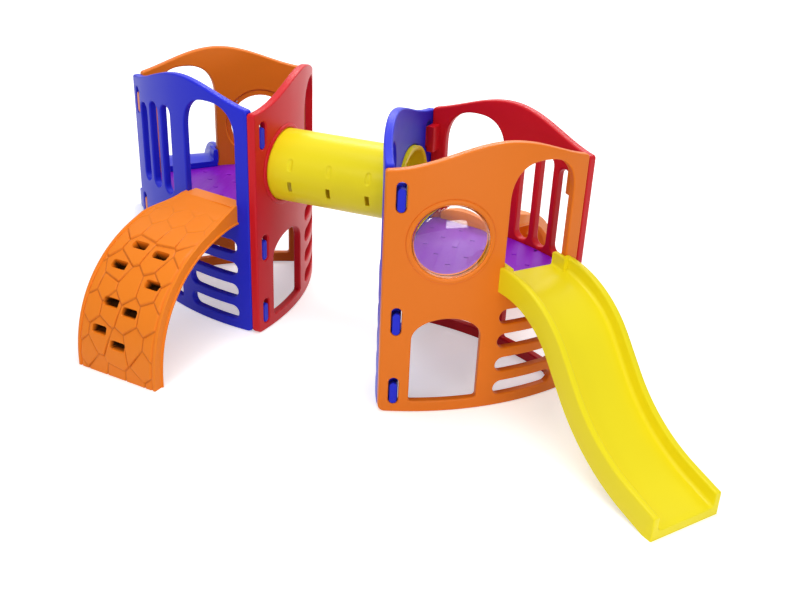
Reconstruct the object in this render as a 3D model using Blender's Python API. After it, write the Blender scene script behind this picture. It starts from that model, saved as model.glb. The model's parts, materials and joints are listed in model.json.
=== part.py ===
"""Modular climbing frame for small children, at rest, in metres with +Z up.

Two triangular towers of bowed double-wall panels stand on the floor. A crawl tunnel joins them along
the X axis, and a wave slide and an arched climbing ramp hang in the doorways of each tower. The left
tower is the right tower turned half a turn about Z, in other colours. The origin is on the floor at
the middle of the footprint.
"""

import math

import bmesh
import bpy
from mathutils import Matrix, Vector

# Wall panels
PANEL_CHORD = 1.0  # straight distance between the two corners of a panel
PANEL_BOW = 0.092  # how far the middle of a panel stands out from that line
PANEL_THICK = 0.042
EDGE_BELOW_HEAD = 0.021  # the top edge at the corners lies this much below the doorway's head
PANEL_CROWN = 0.118  # rise of the bell in the top edge
CROWN_AT = 0.53  # place of the bell along the panel
CROWN_HALF = 0.54
END_ROUND = 0.030  # rounding of the upright left edge, seen from above
FOOT_ROUND = 0.030  # rounding of the bottom corners, seen from the front
HEAD_ROUND = 0.012

# Doorway, upper right of each panel
DOOR_AT = 0.722
DOOR_WIDTH = 0.336
DOOR_SILL = 0.665
DOOR_SPRING = 1.045
DOOR_HEAD = 1.236
PANEL_LOW_EDGE = DOOR_HEAD - EDGE_BELOW_HEAD

# Crawl opening, lower left
ARCH_AT = 0.298
ARCH_WIDTH = 0.328
ARCH_SILL = 0.060
ARCH_SPRING = 0.392
ARCH_HEAD = 0.500

# Level slots, lower right
LOUVRE_AT = 0.718
LOUVRE_LENGTH = 0.332
LOUVRE_TALL = 0.075
LOUVRE_LOW = 0.058
LOUVRE_PITCH = 0.129
LOUVRE_COUNT = 4

# Upright slots, upper left of a bars panel
BAR_SLOT_AT = 0.152
BAR_SLOT_PITCH = 0.121
BAR_SLOT_WIDTH = 0.084
BAR_SLOT_LOW = 0.660
BAR_SLOT_TOPS = (1.100, 1.135, 1.145)

# Round hole, upper left of a window or tunnel panel
TUNNEL_AT = 0.272
WINDOW_AT = 0.290
HOLE_ABOVE_SILL = 0.220
HOLE_HEIGHT = DOOR_SILL + HOLE_ABOVE_SILL
BEAD_WIDTH = 0.015
BEAD_PROUD = 0.006

# Corner tabs: each right edge hooks through three slots by the next panel's left edge
SLOT_AT = 0.066
SLOT_WIDTH = 0.048
SLOT_TALL = 0.142
SLOT_LOWS = (0.044, 0.414, 1.022)
TAB_WIDTH = 0.038
TAB_TALL = 0.112
TAB_RECESS = 0.003
ARM_DEPTH = 0.040
ARM_REACH = 0.026
LIP_WIDTH = 0.024
LIP_THICK = 0.012
LIP_DROP = 0.012
LIP_INSET = 0.016

# Platform and its ledges
DECK_BELOW_SILL = 0.020
PLATFORM_TOP = DOOR_SILL - DECK_BELOW_SILL
PLATFORM_THICK = 0.045
PLATFORM_GAP = 0.003
PLATFORM_ROUND = 0.020
LEDGE_PLACES = (0.27, 0.73)
LEDGE_LENGTH = 0.200
LEDGE_DEPTH = 0.034
LEDGE_TALL = 0.045
LEDGE_NOSE = 0.016
SCREW_HEAD_RADIUS = 0.009
SCREW_HEAD_TALL = 0.004
SCREW_RADIUS = 0.004
SCREW_BITE = 0.014

# Tunnel
TUBE_RADIUS = 0.1885
TUBE_WALL = 0.008
TUNNEL_GAP = 0.650  # tube that shows between the two towers
TUBE_FIT = 0.0008
RING_RADIUS = 0.2040
RING_SEAT = 0.030  # depth of the ring's shoulder behind the front of the wall
TUBE_END = 0.062  # how far behind the front of the wall the tube ends
PIN_RADIUS = 0.005
PIN_INSET = 0.008  # from the end of the tube to the middle of a pin
PIN_ANGLES = (90.0, 210.0, 330.0)
GRIP_PITCH = 0.213
GRIP_WIDTH = 0.026
GRIP_TALL = 0.062
GRIP_ANGLE = -16.0  # below level, on the tube's side

# Window dome
WINDOW_RADIUS = 0.178
DOME_SEAT = 0.024
DOME_POCKET_RADIUS = 0.198
DOME_WALL = 0.004
DOME_PROUD = 0.058
CLAMP_THICK = 0.008
CLAMP_INNER = 0.170
DOME_SCREW_RING = 0.187
DOME_SCREW_BITE = 0.010
DOME_SCREW_RADIUS = 0.0025
DOME_SCREW_HEAD = 0.005
DOME_SCREW_ANGLES = (45.0, 135.0, 225.0, 315.0)

# Things that hang in the doorways
TONGUE_SIDE_GAP = 0.004
LIP_PLATE = 0.018
TONGUE_RAIL = 0.020
TONGUE_STEP = 0.001  # the tongue's floor lies this much lower than the slide's or ramp's
TONGUE_LAP = 0.015
# How each part stands in its doorway: turn towards the right as seen from outside, and shift to the right
HANGING = {
    "right_wave_slide": (math.radians(4.0), 0.0),
    "left_wave_slide": (math.radians(-8.0), 0.0),
    "right_climbing_ramp": (math.radians(4.5), 0.015),
    "left_climbing_ramp": (math.radians(4.5), -0.045),
}

# Wave slide
SLIDE_WIDTH = 0.382
SLIDE_LENGTH = 1.102
SLIDE_CHEEK = 0.032
SLIDE_BED = DOOR_SILL + 0.030
SLIDE_BED_FOOT = 0.058
SLIDE_BED_THICK = 0.028
SLIDE_DEPTH = 0.075  # from the bed down to the lower edge, square to the bed
SLIDE_CHEEK_TOP = 0.050
SLIDE_CHEEK_FOOT = 0.056
SLIDE_CREST_START = 0.020
SLIDE_SLOPE = math.radians(51.0)
SLIDE_EXIT_SLOPE = math.radians(15.0)
SLIDE_CREST_RADIUS = 0.500
SLIDE_HOLLOW_RADIUS = 0.800
SLIDE_FOOT_PLATE = 0.030
WALL_START = -0.030  # slides and ramps start behind the wall's face and are then cut back to it

# Climbing ramp
RAMP_TOP_WIDTH = 0.444
RAMP_FOOT_WIDTH = 0.494
RAMP_REACH = 0.733
RAMP_TOP = DOOR_SILL + 0.007
RAMP_FULLNESS = 2.26  # 2 is a quarter of an ellipse, and more is squarer
RAMP_SKIN = 0.022
RAMP_FLANGE = 0.052
RAMP_FLANGE_THICK = 0.030
RAMP_RIM_WIDTH = 0.018
RAMP_RIM_TALL = 0.006
RAMP_LIP_TOP = DOOR_SILL + 0.057
RAMP_APRON = 0.080  # length of the slope that rises from the ramp's face to the lip in the doorway
HOLD_WIDTH = 0.085
HOLD_TALL = 0.040
# Hand and foot holds: place across the ramp, and angle round its face in degrees up from the foot
HOLDS = (
    (-0.066, 57.9),
    (0.078, 55.6),
    (-0.112, 46.3),
    (0.124, 42.0),
    (-0.071, 29.7),
    (0.051, 27.5),
    (-0.111, 16.9),
    (0.010, 12.4),
)

FIT = 0.0003  # gap between faces that touch on the real object
PANEL_FIT = 0.0008
CUT_OVER = 0.030
WELD = 0.00001
ARC_STEPS = 14
NOSE_STEPS = 4
ROUND_STEPS = 36
SMALL_ROUND_STEPS = 12

BLUE = (0.025, 0.035, 0.52, 1.0)
RED = (0.56, 0.012, 0.022, 1.0)
ORANGE = (0.80, 0.195, 0.018, 1.0)
RAMP_ORANGE = (0.92, 0.25, 0.020, 1.0)
YELLOW = (0.92, 0.80, 0.03, 1.0)
PURPLE = (0.24, 0.020, 0.58, 1.0)
CLEAR = (0.93, 0.94, 0.95, 1.0)
STEEL = (0.62, 0.63, 0.65, 1.0)


# Scene and materials


def clear_scene():
    for thing in list(bpy.data.objects):
        bpy.data.objects.remove(thing, do_unlink=True)


def material(name, colour, roughness, metallic=0.0, transmission=0.0):
    made = bpy.data.materials.new(name)
    made.use_nodes = True
    shader = made.node_tree.nodes["Principled BSDF"]
    shader.inputs["Base Color"].default_value = colour
    shader.inputs["Roughness"].default_value = roughness
    shader.inputs["Metallic"].default_value = metallic
    shader.inputs["Transmission Weight"].default_value = transmission
    made.diffuse_color = colour
    return made


# Plan geometry of one bowed panel, in its own frame: X runs from the left corner to the right corner as
# seen from outside, Y points into the tower, and the outside face passes through both corners.


def bow_radius():
    return (PANEL_CHORD**2 / 4 + PANEL_BOW**2) / (2 * PANEL_BOW)


def bow_centre():
    return Vector((PANEL_CHORD / 2, bow_radius() - PANEL_BOW))


def bow_angle(along):
    return math.asin((along - PANEL_CHORD / 2) / bow_radius())


def bow_point(angle, inset=0.0):
    radius = bow_radius() - inset
    return bow_centre() + radius * Vector((math.sin(angle), -math.cos(angle)))


def turned(point, degrees):
    return Vector(point) @ Matrix.Rotation(-math.radians(degrees), 2)


def to_next(point):
    """A point in the next panel's frame, read in this panel's frame."""
    return Vector((PANEL_CHORD, 0.0)) + turned(point, 120.0)


def to_previous(point):
    return turned(Vector(point) - Vector((PANEL_CHORD, 0.0)), -120.0)


def circles_meet(centre_a, radius_a, centre_b, radius_b, near):
    """The meeting point of two circles that lies nearest to a given point."""
    line = centre_b - centre_a
    apart = line.length
    along = (apart**2 + radius_a**2 - radius_b**2) / (2 * apart)
    across = math.sqrt(radius_a**2 - along**2)
    foot = centre_a + line * (along / apart)
    side = Vector((-line.y, line.x)) * (across / apart)
    return min((foot + side, foot - side), key=lambda spot: (spot - near).length)


def angle_of(point):
    offset = point - bow_centre()
    return math.atan2(offset.x, -offset.y)


def bow_arc(start, end, inset, steps=ARC_STEPS):
    """Points on the bow from one point to another, at a given depth behind the outside face."""
    first, last = angle_of(start), angle_of(end)
    return [bow_point(first + (last - first) * k / steps, inset) for k in range(steps + 1)]


def wall_frame(along):
    """A frame on the outside face: X along the wall, Y straight into the tower, Z up."""
    angle = bow_angle(along)
    spot = bow_point(angle)
    return Matrix.Translation((spot.x, spot.y, 0.0)) @ Matrix.Rotation(angle, 4, "Z")


def next_panel_frame():
    return Matrix.Translation((PANEL_CHORD, 0.0, 0.0)) @ Matrix.Rotation(math.radians(120.0), 4, "Z")


def bow_sag(across, inset=0.0):
    """How far the wall face curves inwards at a distance to the side of a wall frame."""
    radius = bow_radius() - inset
    return inset + radius - math.sqrt(radius**2 - across**2)


# Outlines


def rounded(corners, steps=4):
    """A polygon from (x, y, radius) corners, each with a radius turned into an arc."""
    points = []
    for k, (x, y, radius) in enumerate(corners):
        here = Vector((x, y))
        before = Vector(corners[k - 1][:2]) - here
        after = Vector(corners[(k + 1) % len(corners)][:2]) - here
        if radius <= 0.0:
            points.append(here)
            continue
        half = before.angle(after) / 2
        centre = here + (before.normalized() + after.normalized()).normalized() * (radius / math.sin(half))
        start = here + before.normalized() * (radius / math.tan(half)) - centre
        end = here + after.normalized() * (radius / math.tan(half)) - centre
        sweep = start.angle_signed(end)
        for j in range(steps + 1):
            points.append(centre + start @ Matrix.Rotation(sweep * j / steps, 2))
    return points


def circle(radius, steps=ROUND_STEPS, centre=(0.0, 0.0)):
    middle = Vector(centre)
    angles = [math.tau * k / steps for k in range(steps)]
    return [middle + radius * Vector((math.cos(angle), math.sin(angle))) for angle in angles]


def upright_slot(width, low, high, steps=6):
    """A slot with round ends, as (across, height) points."""
    radius = width / 2
    points = []
    for middle, first in ((low + radius, math.pi), (high - radius, 0.0)):
        for k in range(steps + 1):
            angle = first + math.pi * k / steps
            points.append(Vector((radius * math.cos(angle), middle + radius * math.sin(angle))))
    return points


def level_slot(length, low, tall, steps=6):
    radius = tall / 2
    points = []
    for middle, first in ((length / 2 - radius, -math.pi / 2), (radius - length / 2, math.pi / 2)):
        for k in range(steps + 1):
            angle = first + math.pi * k / steps
            tip = Vector((math.cos(angle), math.sin(angle)))
            points.append(Vector((middle, low + radius)) + radius * tip)
    return points


def arch(width, sill, spring, head, fullness, steps=16):
    """An arched opening; fullness 2 is an ellipse, and more is squarer."""
    half = width / 2
    points = [Vector((-half, sill)), Vector((half, sill))]
    for k in range(steps + 1):
        angle = math.pi * k / steps
        across = math.copysign(abs(math.cos(angle)) ** (2 / fullness), math.cos(angle))
        points.append(Vector((half * across, spring + (head - spring) * math.sin(angle) ** (2 / fullness))))
    return points


def top_edge(along):
    reach = abs(along - CROWN_AT) / CROWN_HALF
    if reach >= 1.0:
        return PANEL_LOW_EDGE
    return PANEL_LOW_EDGE + PANEL_CROWN * 0.5 * (1.0 + math.cos(math.pi * reach))


# Solids


def weld(mesh):
    """Merge points that rounding left a hair apart, and turn all faces outwards."""
    work = bmesh.new()
    work.from_mesh(mesh)
    bmesh.ops.remove_doubles(work, verts=work.verts, dist=WELD)
    bmesh.ops.dissolve_degenerate(work, edges=work.edges, dist=WELD)
    bmesh.ops.recalc_face_normals(work, faces=work.faces)
    work.to_mesh(mesh)
    work.free()


def solid(name, points, faces):
    """An object from points and faces, welded and with its faces turned outwards."""
    mesh = bpy.data.meshes.new(name)
    mesh.from_pydata([tuple(point) for point in points], [], faces)
    weld(mesh)
    made = bpy.data.objects.new(name, mesh)
    bpy.context.collection.objects.link(made)
    return made


def loft(name, rings, closed=False):
    """Skin rings of points that match one to one, with both ends capped unless the loft closes on itself."""
    count = len(rings[0])
    points = [point for ring in rings for point in ring]
    faces = []
    for k in range(len(rings) - (0 if closed else 1)):
        near, far = k * count, (k + 1) % len(rings) * count
        for j in range(count):
            beside = (j + 1) % count
            faces.append((near + j, near + beside, far + beside, far + j))
    if not closed:
        faces.append(tuple(range(count)))
        faces.append(tuple(range(len(points) - count, len(points))))
    return solid(name, points, faces)


def standing_prism(name, outline, low, high):
    """A plan outline pulled up from one height to another."""
    return loft(name, [[Vector((p[0], p[1], z)) for p in outline] for z in (low, high)])


def wall_prism(name, outline, near, far, frame):
    """An outline of (across, height) points pushed into the wall from near to far in a wall frame."""
    return loft(name, [[frame @ Vector((p[0], depth, p[1])) for p in outline] for depth in (near, far)])


def turned_ring(name, profile, frame, steps=ROUND_STEPS):
    """A (radius, depth) profile turned about a wall frame's own Y axis at the height of the frame."""
    rings = []
    for k in range(steps):
        angle = math.tau * k / steps
        rings.append([frame @ Vector((r * math.cos(angle), d, r * math.sin(angle))) for r, d in profile])
    return loft(name, rings, closed=True)


def block(name, low, high, frame=Matrix.Identity(4)):
    outline = ((low[0], low[1]), (high[0], low[1]), (high[0], high[1]), (low[0], high[1]))
    return loft(name, [[frame @ Vector((x, y, z)) for x, y in outline] for z in (low[2], high[2])])


def combine(target, operation, tools):
    """Apply one Boolean per tool to the target and delete the tools."""
    for tool in tools:
        step = target.modifiers.new("step", "BOOLEAN")
        step.operation = operation
        step.solver = "EXACT"
        step.object = tool
        bpy.context.view_layer.update()
        graph = bpy.context.evaluated_depsgraph_get()
        made = bpy.data.meshes.new_from_object(target.evaluated_get(graph))
        weld(made)
        target.modifiers.clear()
        old = target.data
        target.data = made
        bpy.data.meshes.remove(old)
        bpy.data.objects.remove(tool, do_unlink=True)
    return target


def joined(name, tools):
    """Several solids that don't touch, as one cutter."""
    work = bmesh.new()
    for tool in tools:
        work.from_mesh(tool.data)
        bpy.data.objects.remove(tool, do_unlink=True)
    mesh = bpy.data.meshes.new(name)
    work.to_mesh(mesh)
    work.free()
    made = bpy.data.objects.new(name, mesh)
    bpy.context.collection.objects.link(made)
    return made


def placed(thing, name, parent, matrix, finish):
    """Name an object, hang it from its tower, and give it its material and shading."""
    thing.name = name
    thing.parent = parent
    thing.matrix_local = matrix
    thing.data.materials.clear()
    thing.data.materials.append(finish)
    thing.data.shade_smooth()
    thing.data.set_sharp_from_angle(angle=math.radians(30.0))
    return thing


# Panels


def panel_plan():
    """Plan of a panel: its left end is flush with the neighbour's outside face, and its right end butts
    against the next panel's inside face."""
    radius = bow_radius()
    origin = Vector((0.0, 0.0))
    far = Vector((PANEL_CHORD, 0.0))
    inner_start = circles_meet(bow_centre(), radius - PANEL_THICK, to_previous(bow_centre()), radius, origin)
    butt = radius - PANEL_THICK - PANEL_FIT
    outer_end = circles_meet(bow_centre(), radius, to_next(bow_centre()), butt, far)
    inner_end = circles_meet(bow_centre(), radius - PANEL_THICK, to_next(bow_centre()), butt, far)
    outside = bow_arc(bow_point(bow_angle(END_ROUND)), outer_end, 0.0)
    inside = bow_arc(inner_end, inner_start, PANEL_THICK)
    edge = (inner_start - origin).normalized() * END_ROUND
    nose = []
    for k in range(NOSE_STEPS):
        t = k / NOSE_STEPS
        nose.append(edge * (1 - t) ** 2 + outside[0] * t**2)
    return nose + outside + inside


def panel_front():
    """Front view of a panel before its openings are cut."""
    right = PANEL_CHORD + CUT_OVER
    steps = 2 * ARC_STEPS
    corners = [(0.0, 0.0, FOOT_ROUND), (PANEL_CHORD - PANEL_THICK, 0.0, FOOT_ROUND)]
    corners.append((PANEL_CHORD - PANEL_THICK, FOOT_ROUND + HEAD_ROUND, 0.0))
    corners.append((right, FOOT_ROUND + HEAD_ROUND, 0.0))
    for k in range(steps + 1):
        along = PANEL_CHORD * (1 - k / steps)
        corners.append((along if k else right, top_edge(along), 0.0))
    corners[-1] = (0.0, top_edge(0.0), HEAD_ROUND)
    return rounded(corners)


def corner_slots(tall, width):
    return [upright_slot(width, low, low + tall) for low in SLOT_LOWS]


def corner_hooks():
    """The arms and tabs at a panel's right end, which reach through the next panel's slots."""
    frame = next_panel_frame() @ wall_frame(SLOT_AT)
    behind = bow_sag(ARM_REACH + TAB_WIDTH / 2, PANEL_THICK) + PANEL_FIT
    hooks = []
    for low in SLOT_LOWS:
        seat = low + FIT
        arm = block(
            "arm",
            (-ARM_REACH - TAB_WIDTH / 2, behind, seat - LIP_DROP),
            (TAB_WIDTH / 2 + TAB_RECESS, behind + ARM_DEPTH, seat + TAB_TALL + LIP_DROP),
            frame,
        )
        tab = wall_prism(
            "tab", upright_slot(TAB_WIDTH, seat, seat + TAB_TALL), TAB_RECESS, behind + ARM_DEPTH / 2, frame
        )
        lip = block(
            "lip",
            (-LIP_WIDTH / 2, LIP_INSET, seat - LIP_DROP),
            (LIP_WIDTH / 2, LIP_INSET + LIP_THICK, seat + TAB_WIDTH),
            frame,
        )
        hooks += [arm, tab, lip]
    return hooks


def lip_pockets():
    """The blind pocket in the foot of each slot, hidden in the wall, where a tab's lip sits."""
    frame = wall_frame(SLOT_AT)
    side = LIP_WIDTH / 2 + PANEL_FIT
    return [
        block(
            "pocket",
            (-side, LIP_INSET - PANEL_FIT, low - LIP_DROP - PANEL_FIT),
            (side, LIP_INSET + LIP_THICK + PANEL_FIT, low + SLOT_WIDTH / 2),
            frame,
        )
        for low in SLOT_LOWS
    ]


def ledge_outline():
    top = PLATFORM_TOP - PLATFORM_THICK - FIT
    wall = PANEL_THICK - LEDGE_NOSE / 2
    nose = PANEL_THICK + LEDGE_DEPTH
    return [(wall, top), (nose, top), (nose, top - LEDGE_NOSE), (wall, top - LEDGE_TALL)]


def ledges():
    made = []
    for along in LEDGE_PLACES:
        frame = wall_frame(along)
        rings = []
        for side in (-LEDGE_LENGTH / 2, LEDGE_LENGTH / 2):
            rings.append([frame @ Vector((side, depth, z)) for depth, z in ledge_outline()])
        made.append(loft("ledge", rings))
    return made


def screw_place():
    """Centre of a platform screw in a panel's frame."""
    return wall_frame(LEDGE_PLACES[0]) @ Vector((0.0, PANEL_THICK + LEDGE_DEPTH / 2, 0.0))


def hole_frame(along):
    return Matrix.Translation((0.0, 0.0, HOLE_HEIGHT)) @ wall_frame(along)


def bead(frame):
    """The raised ring moulded round a round hole, following the bow of the wall."""
    outer = TUBE_RADIUS + BEAD_WIDTH
    steps = ROUND_STEPS
    ring = []
    for k in range(steps):
        angle = math.tau * k / steps
        column = []
        for radius, proud in (
            (TUBE_RADIUS - BEAD_WIDTH, -BEAD_PROUD),
            (TUBE_RADIUS - BEAD_WIDTH, BEAD_PROUD),
            (outer - BEAD_PROUD, BEAD_PROUD),
            (outer, -BEAD_PROUD),
        ):
            across = radius * math.cos(angle)
            column.append(frame @ Vector((across, bow_sag(across) - proud, radius * math.sin(angle))))
        ring.append(column)
    return loft("bead", ring, closed=True)


def panel(kind):
    """One panel: a bars, window or tunnel panel, in its own frame."""
    high = PANEL_LOW_EDGE + PANEL_CROWN + CUT_OVER
    made = standing_prism("panel", panel_plan(), -CUT_OVER, high)
    front = wall_prism("front", panel_front(), -PANEL_BOW - CUT_OVER, PANEL_CHORD / 4, Matrix.Identity(4))
    combine(made, "INTERSECT", [front])
    through = PANEL_THICK + 2 * CUT_OVER
    cuts = []

    def cut(along, outline, near=-CUT_OVER, far=through):
        cuts.append(wall_prism("cut", outline, near, far, wall_frame(along)))

    cut(DOOR_AT, arch(DOOR_WIDTH, DOOR_SILL, DOOR_SPRING, DOOR_HEAD, 2.5))
    cut(ARCH_AT, arch(ARCH_WIDTH, ARCH_SILL, ARCH_SPRING, ARCH_HEAD, 2.0))
    for k in range(LOUVRE_COUNT):
        cut(LOUVRE_AT, level_slot(LOUVRE_LENGTH, LOUVRE_LOW + k * LOUVRE_PITCH, LOUVRE_TALL))
    for outline in corner_slots(SLOT_TALL, SLOT_WIDTH):
        cut(SLOT_AT, outline)
    if kind == "bars":
        for k, top in enumerate(BAR_SLOT_TOPS):
            cut(BAR_SLOT_AT + k * BAR_SLOT_PITCH, upright_slot(BAR_SLOT_WIDTH, BAR_SLOT_LOW, top))
    else:
        frame = hole_frame(WINDOW_AT if kind == "window" else TUNNEL_AT)
        combine(made, "UNION", [bead(frame)])
        bore = WINDOW_RADIUS if kind == "window" else TUBE_RADIUS + TUBE_FIT
        cuts.append(wall_prism("bore", circle(bore), -CUT_OVER, through, frame))
    combine(made, "DIFFERENCE", [joined("openings", cuts)])
    combine(made, "DIFFERENCE", [joined("pockets", lip_pockets())])
    if kind == "tunnel":
        step = circle(RING_RADIUS + TUBE_FIT)
        combine(made, "DIFFERENCE", [wall_prism("step", step, RING_SEAT, through, frame)])
    if kind == "window":
        step = circle(DOME_POCKET_RADIUS)
        combine(made, "DIFFERENCE", [wall_prism("step", step, DOME_SEAT, through, frame)])
        combine(made, "DIFFERENCE", [joined("screw_holes", dome_screw_shafts(frame, 0.0, FIT))])
    combine(made, "UNION", corner_hooks())
    combine(made, "UNION", ledges())
    spot = screw_place()
    top = PLATFORM_TOP - PLATFORM_THICK
    hole = circle(SCREW_RADIUS + FIT, SMALL_ROUND_STEPS, spot.xy)
    combine(made, "DIFFERENCE", [standing_prism("screw_hole", hole, top - SCREW_BITE - FIT, top + CUT_OVER)])
    return made


# Platform


def platform_plan():
    """The bowed triangle inside three panels, in the first panel's frame."""
    radius = bow_radius() - PANEL_THICK - PLATFORM_GAP
    inset = PANEL_THICK + PLATFORM_GAP
    start = circles_meet(bow_centre(), radius, to_previous(bow_centre()), radius, Vector((0.0, 0.0)))
    end = circles_meet(bow_centre(), radius, to_next(bow_centre()), radius, Vector((PANEL_CHORD, 0.0)))
    side = bow_arc(start, end, inset)
    side[0] = side[0].lerp(side[1], PLATFORM_ROUND / (side[1] - side[0]).length)
    side[-1] = side[-1].lerp(side[-2], PLATFORM_ROUND / (side[-2] - side[-1]).length)
    return side + [to_next(p) for p in side] + [to_next(to_next(p)) for p in side]


def screw_spots():
    spot = screw_place().xy
    return [spot, to_next(spot), to_next(to_next(spot))]


def platform():
    made = standing_prism("platform", platform_plan(), PLATFORM_TOP - PLATFORM_THICK, PLATFORM_TOP)
    holes, seats = [], []
    above = PLATFORM_TOP + CUT_OVER
    for spot in screw_spots():
        shaft = circle(SCREW_RADIUS + FIT, SMALL_ROUND_STEPS, spot)
        holes.append(standing_prism("hole", shaft, PLATFORM_TOP - PLATFORM_THICK - CUT_OVER, above))
        sink = circle(SCREW_HEAD_RADIUS + FIT, SMALL_ROUND_STEPS, spot)
        seats.append(standing_prism("seat", sink, PLATFORM_TOP - SCREW_HEAD_TALL - FIT, above))
    combine(made, "DIFFERENCE", [joined("holes", holes)])
    return combine(made, "DIFFERENCE", [joined("seats", seats)])


def platform_screw(spot):
    head = circle(SCREW_HEAD_RADIUS, SMALL_ROUND_STEPS, spot)
    shaft = circle(SCREW_RADIUS, SMALL_ROUND_STEPS, spot)
    neck = PLATFORM_TOP - SCREW_HEAD_TALL
    foot = PLATFORM_TOP - PLATFORM_THICK - SCREW_BITE
    rings = [(shaft, foot), (shaft, neck), (head, neck), (head, PLATFORM_TOP)]
    return loft("screw", [[Vector((p.x, p.y, z)) for p in outline] for outline, z in rings])


# Window dome


def dome_profile():
    """The clear bubble: a flat flange in the wall's pocket and a shallow cap that stands out in front."""
    flange = DOME_POCKET_RADIUS - TUBE_FIT
    neck = WINDOW_RADIUS - TUBE_FIT
    back = DOME_SEAT + FIT + DOME_WALL
    bottom = DOME_SEAT + FIT
    steps = 7
    outer, inner = [], []
    for k in range(steps + 1):
        angle = math.pi / 2 * k / steps
        outer.append((neck * math.cos(angle), -DOME_PROUD * math.sin(angle)))
        inner.append(((neck - DOME_WALL) * math.cos(angle), -(DOME_PROUD - DOME_WALL) * math.sin(angle)))
    return [(flange, back), (flange, bottom), (neck, bottom)] + outer, [(neck - DOME_WALL, back)] + inner


def dome(frame):
    outer, inner = dome_profile()
    steps = ROUND_STEPS
    points, faces = [], []
    for profile in (outer, inner):
        start = len(points)
        for radius, depth in profile[:-1]:
            for k in range(steps):
                angle = math.tau * k / steps
                points.append(frame @ Vector((radius * math.cos(angle), depth, radius * math.sin(angle))))
        points.append(frame @ Vector((0.0, profile[-1][1], 0.0)))
        tip = len(points) - 1
        rows = len(profile) - 1
        for row in range(rows - 1):
            for k in range(steps):
                beside = (k + 1) % steps
                near, far = start + row * steps, start + (row + 1) * steps
                faces.append((near + k, near + beside, far + beside, far + k))
        last = start + (rows - 1) * steps
        faces += [(last + k, last + (k + 1) % steps, tip) for k in range(steps)]
    inner_start = (len(outer) - 1) * steps + 1
    for k in range(steps):
        beside = (k + 1) % steps
        faces.append((k, beside, inner_start + beside, inner_start + k))
    made = solid("dome", points, faces)
    return combine(made, "DIFFERENCE", [joined("holes", dome_screw_shafts(frame, CUT_OVER, 2 * FIT))])


def dome_screw_shafts(frame, beyond, gap):
    """Shafts of the dome's screws, longer by beyond and wider by gap when they are used as cutters."""
    shafts = []
    for degrees in DOME_SCREW_ANGLES:
        angle = math.radians(degrees)
        centre = (DOME_SCREW_RING * math.cos(angle), DOME_SCREW_RING * math.sin(angle))
        outline = circle(DOME_SCREW_RADIUS + gap, SMALL_ROUND_STEPS, centre)
        near = DOME_SEAT - DOME_SCREW_BITE - FIT - beyond
        shafts.append(wall_prism("shaft", outline, near, DOME_SEAT + CUT_OVER, frame))
    return shafts


def dome_clamp(frame):
    near = DOME_SEAT + DOME_WALL + 2 * FIT
    far = near + CLAMP_THICK
    outer = DOME_POCKET_RADIUS - TUBE_FIT
    made = turned_ring("clamp", [(CLAMP_INNER, near), (outer, near), (outer, far), (CLAMP_INNER, far)], frame)
    return combine(made, "DIFFERENCE", [joined("holes", dome_screw_shafts(frame, CUT_OVER, 2 * FIT))])


def dome_screw(frame, degrees):
    angle = math.radians(degrees)
    centre = (DOME_SCREW_RING * math.cos(angle), DOME_SCREW_RING * math.sin(angle))
    shaft = circle(DOME_SCREW_RADIUS, SMALL_ROUND_STEPS, centre)
    head = circle(DOME_SCREW_HEAD, SMALL_ROUND_STEPS, centre)
    face = DOME_SEAT + DOME_WALL + 3 * FIT + CLAMP_THICK
    tip = DOME_SEAT - DOME_SCREW_BITE
    rings = [(shaft, tip), (shaft, face), (head, face), (head, face + DOME_SCREW_RADIUS)]
    return loft("screw", [[frame @ Vector((p.x, depth, p.y)) for p in outline] for outline, depth in rings])


# Tunnel, built about the X axis at the height of the round holes


def tunnel_frame():
    """The wall frame at the right tower's round hole: its X points to -Y and its Y to +X."""
    place = Matrix.Translation((TUNNEL_GAP / 2, 0.0, HOLE_HEIGHT))
    return place @ Matrix.Rotation(-math.pi / 2, 4, "Z")


def pin_shafts(frame, angles, inner, outer, radius):
    shafts = []
    depth = TUBE_END - PIN_INSET
    for degrees in angles:
        spin = Matrix.Rotation(-math.radians(degrees), 4, "Y")
        rings = []
        for reach in (inner, outer):
            ring = circle(radius, SMALL_ROUND_STEPS)
            rings.append([frame @ spin @ Vector((reach, depth + p.x, p.y)) for p in ring])
        shafts.append(loft("shaft", rings))
    return shafts


def crawl_tunnel():
    frame = tunnel_frame()
    far = Matrix.Rotation(math.pi, 4, "Z")
    inner = TUBE_RADIUS - TUBE_WALL
    length = TUNNEL_GAP + 2 * TUBE_END
    ends = (TUBE_END - length, TUBE_END)
    profile = [(inner, ends[0]), (TUBE_RADIUS, ends[0]), (TUBE_RADIUS, ends[1]), (inner, ends[1])]
    made = turned_ring("tunnel", profile, frame)
    cutters = []
    start, stop = inner - CUT_OVER, TUBE_RADIUS + CUT_OVER
    for side in (Matrix.Identity(4), far):
        cutters += pin_shafts(side @ frame, PIN_ANGLES, start, stop, PIN_RADIUS + FIT)
        spin = side @ frame @ Matrix.Rotation(-math.radians(GRIP_ANGLE), 4, "Y")
        for k in (-1, 0, 1):
            middle = -TUNNEL_GAP / 2 + k * GRIP_PITCH
            low = (start, middle - GRIP_WIDTH / 2, -GRIP_TALL / 2)
            high = (stop, middle + GRIP_WIDTH / 2, GRIP_TALL / 2)
            cutters.append(block("grip", low, high, spin))
    return combine(made, "DIFFERENCE", [joined("cutters", cutters)])


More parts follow.
